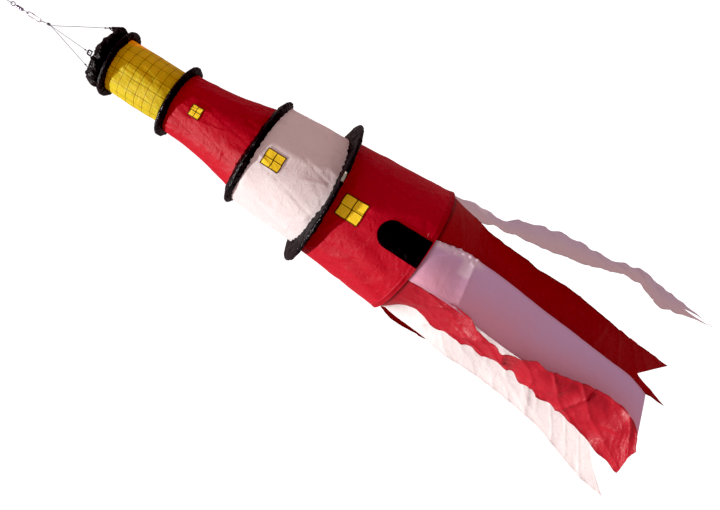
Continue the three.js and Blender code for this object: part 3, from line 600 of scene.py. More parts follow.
M = dict(
    lantern=nylon("yellow_nylon_lattice", (0.82, 0.92, 0.045), (0.42, 0.20, 0.003), (1.0, 0.20, 0.002), 0.53, crinkle=0.8, lattice=True, rough=0.42, sheen=0, spec=0.25),
    window=nylon("yellow_nylon", (0.93, 0.70, 0.028), (0.48, 0.26, 0.005), (0.95, 0.32, 0.002), 0.15, crinkle=0.4, sheen=0, spec=0.3),
    red=nylon("red_nylon", (0.54, 0.007, 0.023), (0.19, 0.0002, 0.002), (0.90, 0.0006, 0.004), 0.33, rough=0.46, crinkle=0.75, stitch=(0.16, 0.0, 0.002), sheen=0, spec=0.25),
    # the lower tower; its hem's darkening at the foot is partly painted shade along the seam over the streamers
    red_foot=nylon("red_nylon_foot", (0.54, 0.010, 0.028), (0.19, 0.0002, 0.002), (0.90, 0.0006, 0.004), 0.33, rough=0.46, crinkle=0.75, stitch=(0.10, 0.0, 0.002), sheen=0, spec=0.25, hem=0.010),
    red_streamer=nylon("red_nylon_streamer", (0.45, 0.009, 0.025), (0.17, 0.0003, 0.002), (0.70, 0.0010, 0.006), 0.30, rough=0.38, crinkle=0.5, hem=0.0045, tail=True, stitch=(0.16, 0.0, 0.003), sheen=0.08, spec=0.6),
    # painted shade: a darker red for the right-hand front streamer, which hangs in shade
    red_painted_shade=nylon("red_nylon_shaded", (0.34, 0.0004, 0.004), (0.12, 0.0001, 0.001), (0.50, 0.0004, 0.002), 0.16, rough=0.40, crinkle=0.4, hem=0.0045, tail=True, stitch=(0.12, 0.0, 0.001), sheen=0, spec=0.3),
    white=nylon("white_nylon", (0.87, 0.86, 0.865), (0.68, 0.63, 0.65), (0.98, 0.80, 0.78), 0.41, rough=0.46, crinkle=0.7, stitch=(0.55, 0.5, 0.52), sheen=0, spec=0.35),
    white_streamer=nylon("white_nylon_streamer", (0.82, 0.82, 0.82), (0.68, 0.63, 0.64), (0.97, 0.88, 0.87), 0.34, rough=0.46, crinkle=0.5, hem=0.0045, tail=True, stitch=(0.66, 0.6, 0.62), sheen=0, spec=0.35),
    # painted shade and painted red glow: the front white streamer, coloured mauve for the shade it hangs in and the
    # red behind it
    painted_shade_mauve_streamer=nylon("white_nylon_painted_shade_and_red_glow", (0.74, 0.42, 0.56), (0.50, 0.26, 0.36), (0.80, 0.45, 0.50), 0.05, rough=0.48, crinkle=0.25, hem=0.0045, tail=True, stitch=(0.5, 0.3, 0.4), tint=(0.95, (0.64, 0.33, 0.44), (0.56, 0.40, 0.62)), sheen=0, spec=0.3),
    # painted shade: the right-hand white streamer, coloured mauve-grey for the shade it hangs in
    painted_shade_grey_streamer=nylon("white_nylon_painted_shade", (0.78, 0.60, 0.66), (0.50, 0.38, 0.42), (0.80, 0.60, 0.62), 0.12, rough=0.48, crinkle=0.3, hem=0.0045, tail=True, stitch=(0.5, 0.38, 0.42), tint=(0.90, (0.66, 0.56, 0.60), (0.58, 0.52, 0.66)), sheen=0, spec=0.3),
    black=black_nylon("black_nylon", rough=0.20, gloss=0.55, crinkle=0.8),
    door=black_nylon("black_nylon_door", rough=0.36, gloss=0.16, crinkle=0.35),
    trim=nylon("window_binding", (0.075, 0.034, 0.003), (0.03, 0.012, 0.001), (0.1, 0.04, 0.0), 0.05, crinkle=0.3, sheen=0, spec=0.2),
    cord=cord_material("braided_cord", (0.050, 0.050, 0.080), (0.19, 0.19, 0.27)),
    brass=metal("blackened_brass", (0.24, 0.23, 0.32), (0.05, 0.045, 0.06), 0.30),
    wire=metal("nickel_wire", (0.50, 0.50, 0.56), (0.20, 0.19, 0.24), 0.24),
    ferrule=metal("drawn_tube", (0.34, 0.40, 0.34), (0.18, 0.20, 0.17), 0.40),
    rod=fibre_rod("glass_fibre"),
)


# ------------------------------------------------------------------ tube panels
PANELS = [
    # CAD node, body of the ring above, panel's body, material, columns
    ("lantern_panel", "head", "lantern", "lantern", 200, "lantern_bend", "lantern_collapse"),
    ("upper_tower_panel", "ring_2", "upper_tower", "red", 216, "upper_tower_bend", "upper_tower_collapse"),
    ("middle_tower_panel", "ring_3", "middle_tower", "white", 240, "middle_tower_bend", "middle_tower_collapse"),
    ("lower_tower_panel", "ring_4", "lower_tower", "red", 264, "lower_tower_bend", "lower_tower_collapse"),
]
Z_RING = [r["z"] for r in RINGS] + [BASE["z"]]
TILT = [(r["tx"], r["ty"]) for r in RINGS] + [(BASE["tx"], BASE["ty"])]
NEXT_BODY = ["ring_2", "ring_3", "ring_4", "base"]
# each panel is cut twice: under the part that bends at the ring above it, and over the
# part that is sewn to the ring below and always goes with that ring
Z_BEND = [Z_RING[k] - 0.375 * (Z_RING[k] - Z_RING[k + 1]) for k in range(4)]
Z_SEWN = [-347.2, -508.3, -639.5, -847.0]


def bent(piece, k):
    """Cloth between a ring and the panel under it, across the bend; its placement is baked into its mesh."""
    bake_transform(piece)


def folded(piece, k):
    """Cloth of panel k, carried by the panel's own body with a mesh of its own."""
    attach(piece, PANELS[k][2])
    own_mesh(piece)


panel_pieces = {}
for k, (node, above, body, mat, cols, _, _) in enumerate(PANELS):
    theta = np.linspace(0, 2 * np.pi, cols, endpoint=False) + np.pi
    z0, z1, r0, r1 = panel_ends(k)
    edge_top = z0 + TILT[k][0] * r0 * np.sin(theta) - TILT[k][1] * r0 * np.cos(theta)
    edge_low = z1 + TILT[k + 1][0] * r1 * np.sin(theta) - TILT[k + 1][1] * r1 * np.cos(theta)
    counts = [max(14, int((z0 - Z_BEND[k]) / 2.7)), max(16, int((Z_BEND[k] - Z_SEWN[k]) / 2.7)), max(6, int((Z_SEWN[k] - z1) / 1.8))]
    levels = [edge_top, 0 * theta + Z_BEND[k], 0 * theta + Z_SEWN[k], edge_low]
    parts = []
    for i, n in enumerate(counts):
        t = np.linspace(0, 1, n + 1)[:, None]
        seg = levels[i][None] * (1 - t) + levels[i + 1][None] * t
        parts.append(seg if i == 0 else seg[1:])
    Z = np.concatenate(parts)
    off = 0.0
    if k == 3:   # the hem folded up round the foot stands a little proud
        off = 0.6 * smooth((edge_low[None] + 10.5 - Z) / 1.5) + 0.8 * smooth((edge_low[None] + 5 - Z) / 5)
    P = panel_point(k, theta[None], Z, off)
    Nn = grid_normals(P, True)
    flip = (Nn[10, :, :2] * (P[10, :, :2] - [AX, 0])).sum() < 0
    if flip:
        Nn = -Nn
    rm = (r0 + r1) / 2
    uv = np.stack([np.broadcast_to((theta - np.pi)[None] * rm * MM, Z.shape), Z * MM], -1)
    c0, c1 = counts[0], counts[0] + counts[1]
    for share, rows in (("upper", slice(0, c0 + 1)), ("lower", slice(c0, c1 + 1)), ("sewn", slice(c1, None))):
        Ph, Nh, Uh, Zh = P[rows], Nn[rows], uv[rows], Z[rows]
        # the seam of the tube runs down the back: repeat its first column for the texture
        Ph, Nh, Uh, Zh = [np.concatenate([q, q[:, :1]], 1) for q in (Ph, Nh, Uh, Zh)]
        Uh[:, -1, 0] = 2 * np.pi * rm * MM
        # a hair's breadth between the part that folds and the part that doesn't
        if share == "lower":
            Ph[-1, :, 2] += 0.08
        if share == "sewn":
            Ph[0, :, 2] -= 0.04
        hem = None
        if k == 3:
            hem = np.stack([(Zh - np.concatenate([edge_low, edge_low[:1]])[None]) * MM, Uh[..., 0]], -1)
        ob = cloth(f"{node}_{share}_part", Ph, 0.35, closed=False, N=Nh, uv=Uh, hem=hem, mats=[M["red_foot" if hem is not None else mat]], flip=flip)
        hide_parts(node)
        panel_pieces[k, share] = ob

# ------------------------------------------------------------------ windows and door
rng = np.random.default_rng(5)


def patch(name, k, top, bottom, half_width, mats, cells, border, bar, arched=False, straight=False):
    rm = panel_radius(k, -814 if arched or straight else (top + bottom) / 2)
    half = half_width / rm
    w = np.linspace(-1, 1, cells + 1)[None]
    rows = max(6, int(cells * abs(top - bottom) / (2 * half_width)))
    s = np.linspace(0, 1, rows + 1)[:, None]
    head = top - (1 - np.sqrt(np.maximum(0, 1 - w * w * 0.985))) * half_width if arched else top + 0 * w
    theta = half * w * (1 + 0.012 * np.sin(7 * s) * (0 if arched or straight else 1))
    z = head * (1 - s) + bottom * s + (0 if arched or straight else 0.35) * np.sin(5 * w)
    theta, z = np.broadcast_arrays(theta, z)
    de = np.minimum((1 - np.abs(w)) * half_width, np.minimum(s, 1 - s) * (head - bottom))
    if straight or arched:   # the door is one cloth across the cut between its two pieces
        de = (1 - np.abs(w)) * half_width + 0 * s
    if straight:
        de = np.minimum(de, (1 - s) * (head - bottom) + 0 * w)
    if arched:   # distance to the round head too
        x = w * half_width
        de = np.minimum(de, np.maximum(0, half_width - np.hypot(x, np.maximum(0, z - (top - half_width)))))
    mask = smooth((border - de) / 0.5 + 0.5)
    if bar:
        cross = np.minimum(np.abs(w) * half_width, np.abs(s - 0.5) * abs(top - bottom))
        mask = np.maximum(mask, smooth((bar / 2 - cross) / 0.35 + 0.5))
    puff = np.minimum(1, de / 3.5)
    wr = waves(int(200 + k * 7 + (arched or straight)), 8, 40, 0.05, 0.35, 18)
    cr = ridges(waves(int(300 + k * 7 + (arched or straight)), 6, 24, 0.04, 0.2, 12), 3.0)
    off = 0.85 + 0.42 * mask + 0.55 * puff * (0.35 * wr(theta, z) * (1.0 if arched or straight else 0.5) + (1.2 if arched or straight else 0.5) * cr(theta, z))
    P = panel_point(k, theta, z, off)
    x = w * half_width + 0 * z
    uv = np.stack([x * MM, z * MM], -1)
    cm = ((mask[:-1, :-1] + mask[1:, 1:] + mask[:-1, 1:] + mask[1:, :-1]) / 4 > 0.5).astype(int)
    N = grid_normals(P, False)
    if N[rows // 2, cells // 2, 1] > 0:
        return cloth(name, P, 0.5, N=N, uv=uv, mats=mats, cell_mat=cm, flip=True)
    return cloth(name, P, 0.5, N=N, uv=uv, mats=mats, cell_mat=cm)


windows = [
    ("window_upper", 1, -393.5, -414.5, 10.5, 44, 1.3, 1.1),
    ("window_middle", 2, -540.5, -575.5, 15.0, 56, 1.8, 1.35),
    ("window_lower", 3, -690.5, -735.5, 21.0, 72, 2.0, 1.6),
]
for name, k, top, bottom, hw, cells, border, bar in windows:
    ob = patch(name + "_applique", k, top, bottom, hw, [M["window"], M["trim"]], cells, border, bar)
    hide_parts(name)
    panel_pieces[name] = ob
door = patch("door_applique", 3, -768, Z_SEWN[3] + 0.08, 26, [M["door"], M["door"]], 52, 1.8, 0, arched=True)
door_foot = patch("door_applique_foot", 3, Z_SEWN[3] - 0.04, -860.2, 26, [M["door"], M["door"]], 52, 1.8, 0, straight=True)
for ob in (door, door_foot):
    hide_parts("door_panel")

for k in range(4):
    z0, z1, r0, r1 = panel_ends(k)
    for share, top, low in (("upper", z0, Z_BEND[k]), ("lower", Z_BEND[k], Z_SEWN[k])):
        ob = panel_pieces[k, share]
        rr = panel_radius(k, (top + low) / 2)
        (bent if share == "upper" else folded)(ob, k)
    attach(panel_pieces[k, "sewn"], NEXT_BODY[k])
for name, k, *_ in windows:
    bent(panel_pieces[name], k)
folded(door, 3)
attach(door_foot, "base")

# ------------------------------------------------------------------ gallery rings
RING_BODY = ["head", "ring_2", "ring_3", "ring_4"]


def bell(deg, at, width):
    return np.exp(-((((deg - at) + 180) % 360 - 180) / width) ** 2)


# how far up and down each sleeve's seams reach on the tube, by bearing in degrees
SLEEVE = [
    lambda q: (6.5 + 0 * q, 3.4 + 0.8 * bell(q, -70, 50)),
    lambda q: (5.6 + 0 * q, 5.2 + 1.2 * bell(q, -60, 40)),
    lambda q: (9.8 + 0.8 * bell(q, -60, 40), 7.2 + 0.6 * bell(q, -60, 40)),
    lambda q: (9.4 - 7.0 * bell(q, 12, 42), 9.0 - 6.6 * bell(q, 12, 42)),
]
for k, ring in enumerate(RINGS):
    n = k + 1
    rh, outer = ring["out"] - 4.4, (4.5, 4.5, 4.5, 3.9)[k]
    f = math.radians(ring["ferrule"])
    collar_at = 49.2 + (MOUTH_R - 49.2) * 0.2 + 7.2 * math.sin(math.pi * (0.2 - 0.12) / 0.88) ** 0.9
    in_top = (collar_at if k == 0 else panel_radius(k - 1, ring["z"] + ring["half"])) + 0.5
    in_low = panel_radius(k, ring["z"] - ring["half"]) + 0.5
    cols = 336
    theta = np.linspace(0, 2 * np.pi, cols, endpoint=False) + f + np.pi
    deg = np.degrees((theta + np.pi) % (2 * np.pi) - np.pi)
    up_half, low_half = SLEEVE[k](deg)
    arc = [(rh + outer * math.cos(math.radians(q)), outer * math.sin(math.radians(q))) for q in (78, 52, 26, 0, -26, -52, -78)]
    basic = [(in_top, 1.0), ((in_top * 0.45 + arc[0][0] * 0.55), None), *arc, ((in_low * 0.45 + arc[-1][0] * 0.55), None), (in_low, -1.0)]
    n_rows = 41
    line = np.zeros((n_rows, cols, 2))
    for j in range(cols):
        hu, hl = up_half[j], low_half[j]
        q = [(in_top, hu), (basic[1][0], hu * 0.55 + arc[0][1] * 0.55 * (0.5 + 0.5 * min(1, hu / 7)))] + arc + [(basic[-2][0], -hl * 0.55 + arc[-1][1] * 0.55 * (0.5 + 0.5 * min(1, hl / 7))), (in_low, -hl)]
        line[:, j] = curve_at(spline([(a_, b_, 0) for a_, b_ in q], 1.0), np.linspace(0, 1, n_rows)[:, None])[:, 0, :2]
    rows = n_rows
    p = np.linspace(0, 1, rows)[:, None]
    tang = np.gradient(line, axis=0)
    nr, nz = -tang[..., 1], tang[..., 0]
    ln = np.hypot(nr, nz)
    nr, nz = nr / ln, nz / ln
    sign = 1 if nr[rows // 2, 0] > 0 else -1
    nr, nz = nr * sign, nz * sign
    low = waves(400 + k, 3, 9, 0, 0.0, 8)
    lump = waves(410 + k, 8, 22, 0.02, 0.12, 14)
    pucker = waves(420 + k, 30, 70, 0.0, 0.06, 18)
    crease = ridges(waves(430 + k, 9, 26, 0.05, 0.22, 12), 3.0)
    size = [0.65, 0.75, 1.0, 1.15][k]
    s_mm = p * 30
    flank = 4 * np.abs(p - 0.5) * (1 - np.abs(p - 0.5) * 2) * 2      # fullest between the rod and the seams
    seam = np.exp(-np.minimum(p, 1 - p) * 16)
    d = size * (0.35 * lump(theta[None], s_mm) * (0.35 + flank) + 0.9 * crease(theta[None], s_mm) * (0.25 + flank) + 0.22 * pucker(theta[None], s_mm) * (0.4 + 1.6 * seam) - 0.3)
    d = d * (0.3 + 0.7 * smooth(np.minimum(p, 1 - p) / 0.08))
    r = line[..., 0] + nr * d
    zeta = line[..., 1] + nz * d
    zeta = zeta + np.sign(0.5 - p) * seam * (0.8 * low(theta[None], 0) + 0.35 * pucker(theta[None], 0)) * size
    r = np.maximum(r, np.where(p < 0.5, in_top, in_low) - 0.2)
    z = ring["z"] + zeta
    x, y = r * np.sin(theta[None]), -r * np.cos(theta[None])
    P = lean(x, y, z + 0 * x)
    wrap = (theta - f + np.pi) % (2 * np.pi) - np.pi
    wide = 9.0 * (1 + 0.12 * np.sin(9 * p[:-1] * np.pi))
    rc = (line[:-1, :, 0] + line[1:, :, 0]) / 2
    keep = ~((np.abs(wrap)[None] * rh < wide) & (rc > rh - 1.5))
    uv = np.stack([np.broadcast_to((theta - f - np.pi)[None] * rh * MM, r.shape), np.broadcast_to(p * 30 * MM, r.shape)], -1)
    N = grid_normals(P, True)
    mid = rows // 2
    flip = (N[mid, :, :2] * (P[mid, :, :2] - [AX, 0])).sum() < 0
    ob = cloth(f"gallery_sleeve_{n}_cloth", P, 0.5, closed=True, N=N, keep=keep, uv=uv, mats=[M["black"]], flip=flip)
    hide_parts(f"gallery_sleeve_{n}")
    length = float(np.linalg.norm(np.diff(line, axis=0), axis=2).sum(0).mean())
    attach(ob, RING_BODY[k])
    # the hoop: a springy rod whose ends meet in the ferrule
    a = f + 0.8 / rh + (2 * np.pi - 1.6 / rh) * np.linspace(0, 1, 200)
    pts = lean(rh * np.sin(a), -rh * np.cos(a), np.full(200, ring["z"]))
    v, fc, uvr = tube_mesh(pts, 2.0, 14)
    ob = mesh_object(f"hoop_{n}_rod", v, fc, uv={"UVMap": uvr}, mats=[M["rod"]])
    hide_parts(f"hoop_{n}")
    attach(ob, RING_BODY[k])
    u = np.linspace(-1, 1, 41)
    a = f + u * 7 / rh
    pts = lean(rh * np.sin(a), -rh * np.cos(a), np.full(41, ring["z"]))
    radius = 3.0 - 0.42 * np.exp(-((np.abs(u) - 0.55) / 0.09) ** 2) - 0.5 * smooth((np.abs(u) - 0.93) / 0.07)
    v, fc, uvr = tube_mesh(pts, radius, 28)
    ob = mesh_object(f"hoop_ferrule_{n}_tube", v, fc, uv={"UVMap": uvr}, mats=[M["ferrule"]])
    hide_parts(f"hoop_ferrule_{n}")
    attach(ob, RING_BODY[k])

# ------------------------------------------------------------------ roof collar
cols, rows = 336, 44
a = np.linspace(0, 2 * np.pi, cols, endpoint=False)[None]
t = np.linspace(0, 1.16, rows)[:, None]
tc = np.minimum(t, 1.0)
z0c = RINGS[0]["z"] + 1
height = MOUTH_Z - z0c
r = 49.2 + (MOUTH_R - 49.2) * tc + 7.2 * np.sin(np.pi * np.clip((tc - 0.12) / 0.88, 0, 1)) ** 0.9
warp = a + 0.10 * np.sin(3 * a + 1.1) + 0.07 * np.sin(5 * a + 0.4) + 0.03 * np.sin(11 * a)
ease = np.clip((tc - 0.18) / 0.82, 0, 1)
pl = np.cos(13 * warp) + 0.5 * np.cos(21 * warp + 1.7) + 0.35 * np.cos(34 * warp + 0.5)
crumple = waves(500, 6, 26, 0.05, 0.25, 18)
crs = ridges(waves(501, 6, 20, 0.06, 0.22, 12), 3.0)
r = r + 1.15 * pl * smooth(ease * 1.3) * (1 - 0.35 * ease) + 0.9 * crumple(a, tc * 40) * smooth(tc / 0.25) + 1.6 * crs(a, tc * 40) * smooth(tc / 0.3) * (1 - 0.5 * tc)
ragged = waves(502, 4, 17, 0, 0, 12)
lip = MOUTH_TY * (-r * np.cos(a)) + 2.2 * np.cos(3 * (a - math.radians(BRIDLE_AT[0]))) + 1.3 * ragged(a, 0) + 0.8 * pl
roll = np.clip((t - 1.0) / 0.16, 0, 1)
z = z0c + height * tc + lip * tc**2 + 1.2 * np.sin(np.pi * roll) - 5.0 * roll**1.5
r = r - 2.6 * smooth(roll * 1.4) - 0.8 * roll
P = np.stack([AX + r * np.sin(a), -r * np.cos(a), z + 0 * a], -1)
uv = np.stack([np.broadcast_to(a * 50 * MM, r.shape), np.broadcast_to(t * 38 * MM, r.shape)], -1)
N = grid_normals(P, True)
flip = (N[rows // 3, :, :2] * (P[rows // 3, :, :2] - [AX, 0])).sum() < 0
collar = cloth("roof_collar_gathered", P, 0.5, closed=True, N=N, uv=uv, mats=[M["black"]], flip=flip)
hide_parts("roof_collar")
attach(collar, "head")

# ------------------------------------------------------------------ base hem
cols = 264
a = np.linspace(0, 2 * np.pi, cols, endpoint=False)[None]
zz = np.linspace(11, -0.6, 9)[:, None]
wob = waves(600, 10, 40, 0, 0.02, 12)
rr = BASE["r"] - 4.0 + 0.22 * wob(a, 0) + 0 * zz
P = lean(rr * np.sin(a), -rr * np.cos(a), BASE["z"] + zz + 0 * a)
uv = np.stack([np.broadcast_to(a * 130 * MM, rr.shape), np.broadcast_to(zz * MM, rr.shape)], -1)
N = grid_normals(P, True)
flip = (N[4, :, :2] * (P[4, :, :2] - [AX, 0])).sum() < 0
ob = cloth("base_hem_band", P, 0.9, closed=True, N=N, uv=uv, mats=[M["red"]], flip=flip)
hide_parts("base_hem")
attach(ob, "base")


# both long edges of each streamer, from its seam down (mm)
STREAMERS = [
    dict(name='streamer_white_right', dye='white', at=90, apex=0.5, notch=70,
         a=[(131.7, -49.1, -869.4), (127.5, -57.5, -924.7), (121.2, -62, -980.2), (135.3, -67.3, -1034.2), (144.2, -74.4, -1089.1), (155.5, -80.4, -1143.5), (172.7, -85.9, -1196.7), (179.7, -91.4, -1251), (163, -97.1, -1304.5), (176.8, -101.5, -1358.7), (186.2, -108, -1413.6)],
         b=[(131.7, 49.1, -872), (144.5, 39.6, -933), (142.6, 30.8, -994.3), (181.9, 20.1, -1043.8), (194.6, 14, -1105.9), (201.3, 8.9, -1168.8), (206.1, 2.3, -1231.8), (221.6, -3.5, -1290.6), (213.3, -10.2, -1353.4), (208.5, -18.4, -1416.1), (201.6, -26, -1478.8)]),
    dict(name='streamer_red_front_right', dye='red', at=41.25, apex=0.3, notch=82,
         a=[(44.8, -127.3, -863.8), (51.5, -119.4, -919.8), (39.6, -114.7, -976.3), (32.6, -110.8, -1033.5), (26.8, -106.6, -1090.7), (22.6, -103.2, -1148.1), (19.1, -100.2, -1205.6), (15.8, -97.7, -1263.2), (13.2, -95.5, -1320.7), (11.7, -93.3, -1378.4), (11, -91, -1436)],
         b=[(130.5, -52.1, -869.3), (123.7, -62, -925.3), (115.9, -57.1, -981.8), (107.8, -51.8, -1038.5), (104.5, -46.9, -1095.3), (106.9, -42.6, -1152.4), (102.6, -39.5, -1209.3), (96.1, -36.8, -1266.3), (91.2, -34.3, -1323.3), (87.6, -32.8, -1380.4), (84.9, -32, -1437.7)]),
    dict(name='streamer_white_front', dye='white', at=-3.75, apex=0.5, notch=0,
         a=[(-40.1, -122.7, -860.4), (-40, -124, -916), (-43, -125, -971.6), (-49.6, -123.4, -1026.8), (-54.4, -121, -1082.2), (-56.9, -118.4, -1137.8), (-57, -116.9, -1193.4), (-57.1, -115.9, -1249), (-61, -115.1, -1304.8), (-69.9, -115.1, -1359.2), (-89, -116, -1412)],
         b=[(41.7, -128.1, -863.6), (51.8, -127, -911.8), (51.5, -126.7, -963.6), (49, -125.6, -1014.7), (43.9, -124.1, -1065.7), (39.4, -122.3, -1116.7), (36.1, -119.9, -1167.8), (32.1, -117.8, -1218.9), (27.8, -116, -1269.9), (24.3, -113.8, -1320.9), (11.1, -112, -1370.5)]),
    dict(name='streamer_red_front_left', dye='red', at=-45, apex=0.5, notch=0,
         a=[(-112.5, -52.1, -859.2), (-84.6, -56, -910.1), (-93.4, -51.9, -968), (-90.3, -49, -1026.4), (-92.6, -49.6, -1085), (-89.9, -52.9, -1143.4), (-98.5, -59.3, -1200.7), (-106.2, -66.7, -1258.3), (-117.5, -74.4, -1315.2), (-133.1, -82.9, -1371), (-148.7, -92, -1426.8)],
         b=[(-43.1, -121.5, -860.3), (-41.2, -128.6, -915.5), (-41.4, -138.7, -970), (-53.5, -142.5, -1024.5), (-61, -145.6, -1079.9), (-53.6, -146, -1134.4), (-52.5, -146, -1189.5), (-39.7, -145.3, -1242.9), (-33.2, -146.6, -1298.6), (-40.9, -150.6, -1348.9), (-92, -152, -1381.3)]),
    dict(name='streamer_white_left', dye='white', at=-90, apex=0.66, notch=62,
         a=[(-113.7, 49.1, -861.8), (-122, 33, -918.2), (-124.6, 9.6, -972.6), (-134.3, -4.2, -1028.9), (-135.2, -14.1, -1088.1), (-138.7, -28.3, -1145.9), (-145.3, -41.6, -1203.7), (-156.1, -55, -1260.8), (-175.4, -69.9, -1315.1), (-193.3, -82.2, -1370), (-202.7, -92, -1428.6)],
         b=[(-113.7, -49.1, -859.2), (-94.9, -50, -915.3), (-74.8, -46.9, -970.8), (-59.4, -41.2, -1027.7), (-49.5, -35.4, -1085.9), (-49.8, -33.4, -1144.7), (-56.9, -33.1, -1203.5), (-69.1, -34.7, -1261.4), (-82.3, -36.9, -1319.1), (-98, -39.4, -1376), (-117, -42, -1432)]),
    dict(name='streamer_red_back_left', dye='red', at=-135, apex=0.5, notch=78,
         a=[(-43.1, 121.5, -866.6), (-56, 124.1, -921.5), (-65.5, 126.8, -976.9), (-72.1, 129.7, -1032.8), (-77.9, 132.4, -1088.9), (-83.4, 135.1, -1145), (-88.3, 137.6, -1201.1), (-92.7, 139.8, -1257.3), (-96.6, 141.8, -1313.5), (-100, 143.9, -1369.7), (-103, 146, -1426)],
         b=[(-112.5, 52.1, -861.9), (-122.3, 58.1, -917.7), (-129.4, 60, -973.9), (-134.1, 60, -1030.6), (-138.7, 60, -1087.3), (-144, 62.1, -1143.9), (-149.9, 65.5, -1200.3), (-156.9, 68.5, -1256.7), (-164.2, 71.6, -1313), (-170.1, 74.8, -1369.4), (-175, 78, -1426)]),
    dict(name='streamer_white_back', dye='white', at=180, apex=0.5, notch=78,
         a=[(58.1, 122.7, -870.8), (47.9, 132.8, -925), (40.8, 140.7, -979.9), (35.7, 147.6, -1035.3), (32.5, 149.9, -1091), (30.2, 147.9, -1146.9), (29, 146, -1202.8), (31.1, 148.7, -1258.5), (34.8, 153.7, -1314.2), (36.3, 156.3, -1370.1), (37, 158, -1426)],
         b=[(-40.1, 122.7, -866.7), (-48.2, 127, -922.3), (-55.1, 131.4, -977.9), (-61.5, 135.9, -1033.7), (-65.4, 141, -1089.5), (-67.8, 148.6, -1145.3), (-69, 153.9, -1201.3), (-66.9, 153.2, -1257.4), (-63.2, 152, -1313.6), (-61.7, 152.4, -1369.8), (-61, 154, -1426)]),
    dict(name='streamer_red_back_right', dye='red', at=135, apex=0.5, notch=78,
         a=[(130.5, 52.1, -872), (119.7, 55, -926.6), (114.9, 57.1, -981.7), (112.4, 58.8, -1037.3), (110.6, 60.4, -1092.9), (109.4, 62.1, -1148.5), (108.2, 63.8, -1204), (105.9, 65.7, -1259.5), (103.2, 67.8, -1315), (101, 69.9, -1370.5), (99, 72, -1426)],
         b=[(61.1, 121.5, -870.9), (58.3, 124.6, -926.4), (54.9, 128, -981.8), (51, 131.7, -1037.2), (48.7, 134.5, -1092.6), (47.8, 136.2, -1148.2), (47.1, 137.8, -1203.8), (46.1, 139.7, -1259.3), (45.1, 141.8, -1314.9), (44.1, 143.9, -1370.4), (43, 146, -1426)]),
]


# ------------------------------------------------------------------ streamers
def field(seed, short, long, angle, spread, count=12):
    """A random field over the flat cloth (mm across, mm along), folds mostly at an angle."""
    g = np.random.default_rng(seed)
    wl = g.uniform(short, long, count)
    an = np.radians(angle + g.normal(0, spread, count))
    ph = g.uniform(0, 2 * np.pi, count)
    am = g.uniform(0.6, 1, count)
    am /= math.sqrt((am * am).sum() / 2)

    def f(x, y):
        out = 0
        for i in range(count):
            k = 2 * np.pi / wl[i]
            out = out + am[i] * np.cos(k * (math.cos(an[i]) * x + math.sin(an[i]) * y) + ph[i])
        return out

    return f


def crease(x, y, x0, y0, angle, height, width, reach):
    """A sharp fold line through (x0, y0): steep on one side, a long slope on the other."""
    c, s = math.cos(math.radians(angle)), math.sin(math.radians(angle))
    across = -(x - x0) * s + (y - y0) * c
    along = (x - x0) * c + (y - y0) * s
    e = np.exp(-(along / reach) ** 2)
    side = np.where(across > 0, np.exp(-across / width), np.exp(across / (width * 4.5)))
    return height * e * side


LOOK = {
    # material, size of folds, fold angle, creases (across mm, along mm, angle, height, width, reach)
    "streamer_white_right": ("painted_shade_grey_streamer", 1.2, 70, []),
    "streamer_red_front_right": ("red_painted_shade", 0.8, 75, [(60, 400, 20, 3.5, 10, 40)]),
    "streamer_white_front": ("painted_shade_mauve_streamer", 0.28, 80, [(70, 92, -6, 4.0, 3.0, 90), (98, 60, 62, 3.5, 5, 45), (20, 300, 10, 1.0, 16, 120)]),
    "streamer_red_front_left": ("red_streamer", 2.1, 32, [(45, 150, 30, 6, 5, 60), (60, 235, -28, 8, 5, 60), (30, 330, 35, 7, 6, 70), (60, 400, 8, 9, 4.5, 80), (50, 470, 60, 6, 7, 70), (70, 70, 45, 6, 5, 45)]),
    "streamer_white_left": ("white_streamer", 0.55, 60, [(60, 120, 25, 3, 6, 60), (40, 360, -20, 3, 8, 60)]),
    "streamer_red_back_left": ("red_streamer", 1.4, 60, []),
    "streamer_white_back": ("white_streamer", 1.4, 65, []),
    "streamer_red_back_right": ("red_streamer", 1.4, 65, []),
}
NUDGE = {
    "streamer_white_right": [("b", 1, (9, 0, 5)), ("b", 2, (12, 0, 6)), ("b", 3, (-4, 0, 0)), ("a", 1, (-10, 8, 0)), ("a", 2, (7, 0, 0)), ("a", 3, (0, 0, 0))],
    "streamer_red_back_left": [("b", 1, (-11, 0, 0)), ("b", 2, (-5, 0, 0))],
    "streamer_white_left": [("b", 1, (22, 10, 10)), ("b", 2, (10, 6, 4))],
    "streamer_red_front_right": [("b", 1, (-5, 0, 0)), ("b", 2, (-6, 0, 0))],
}
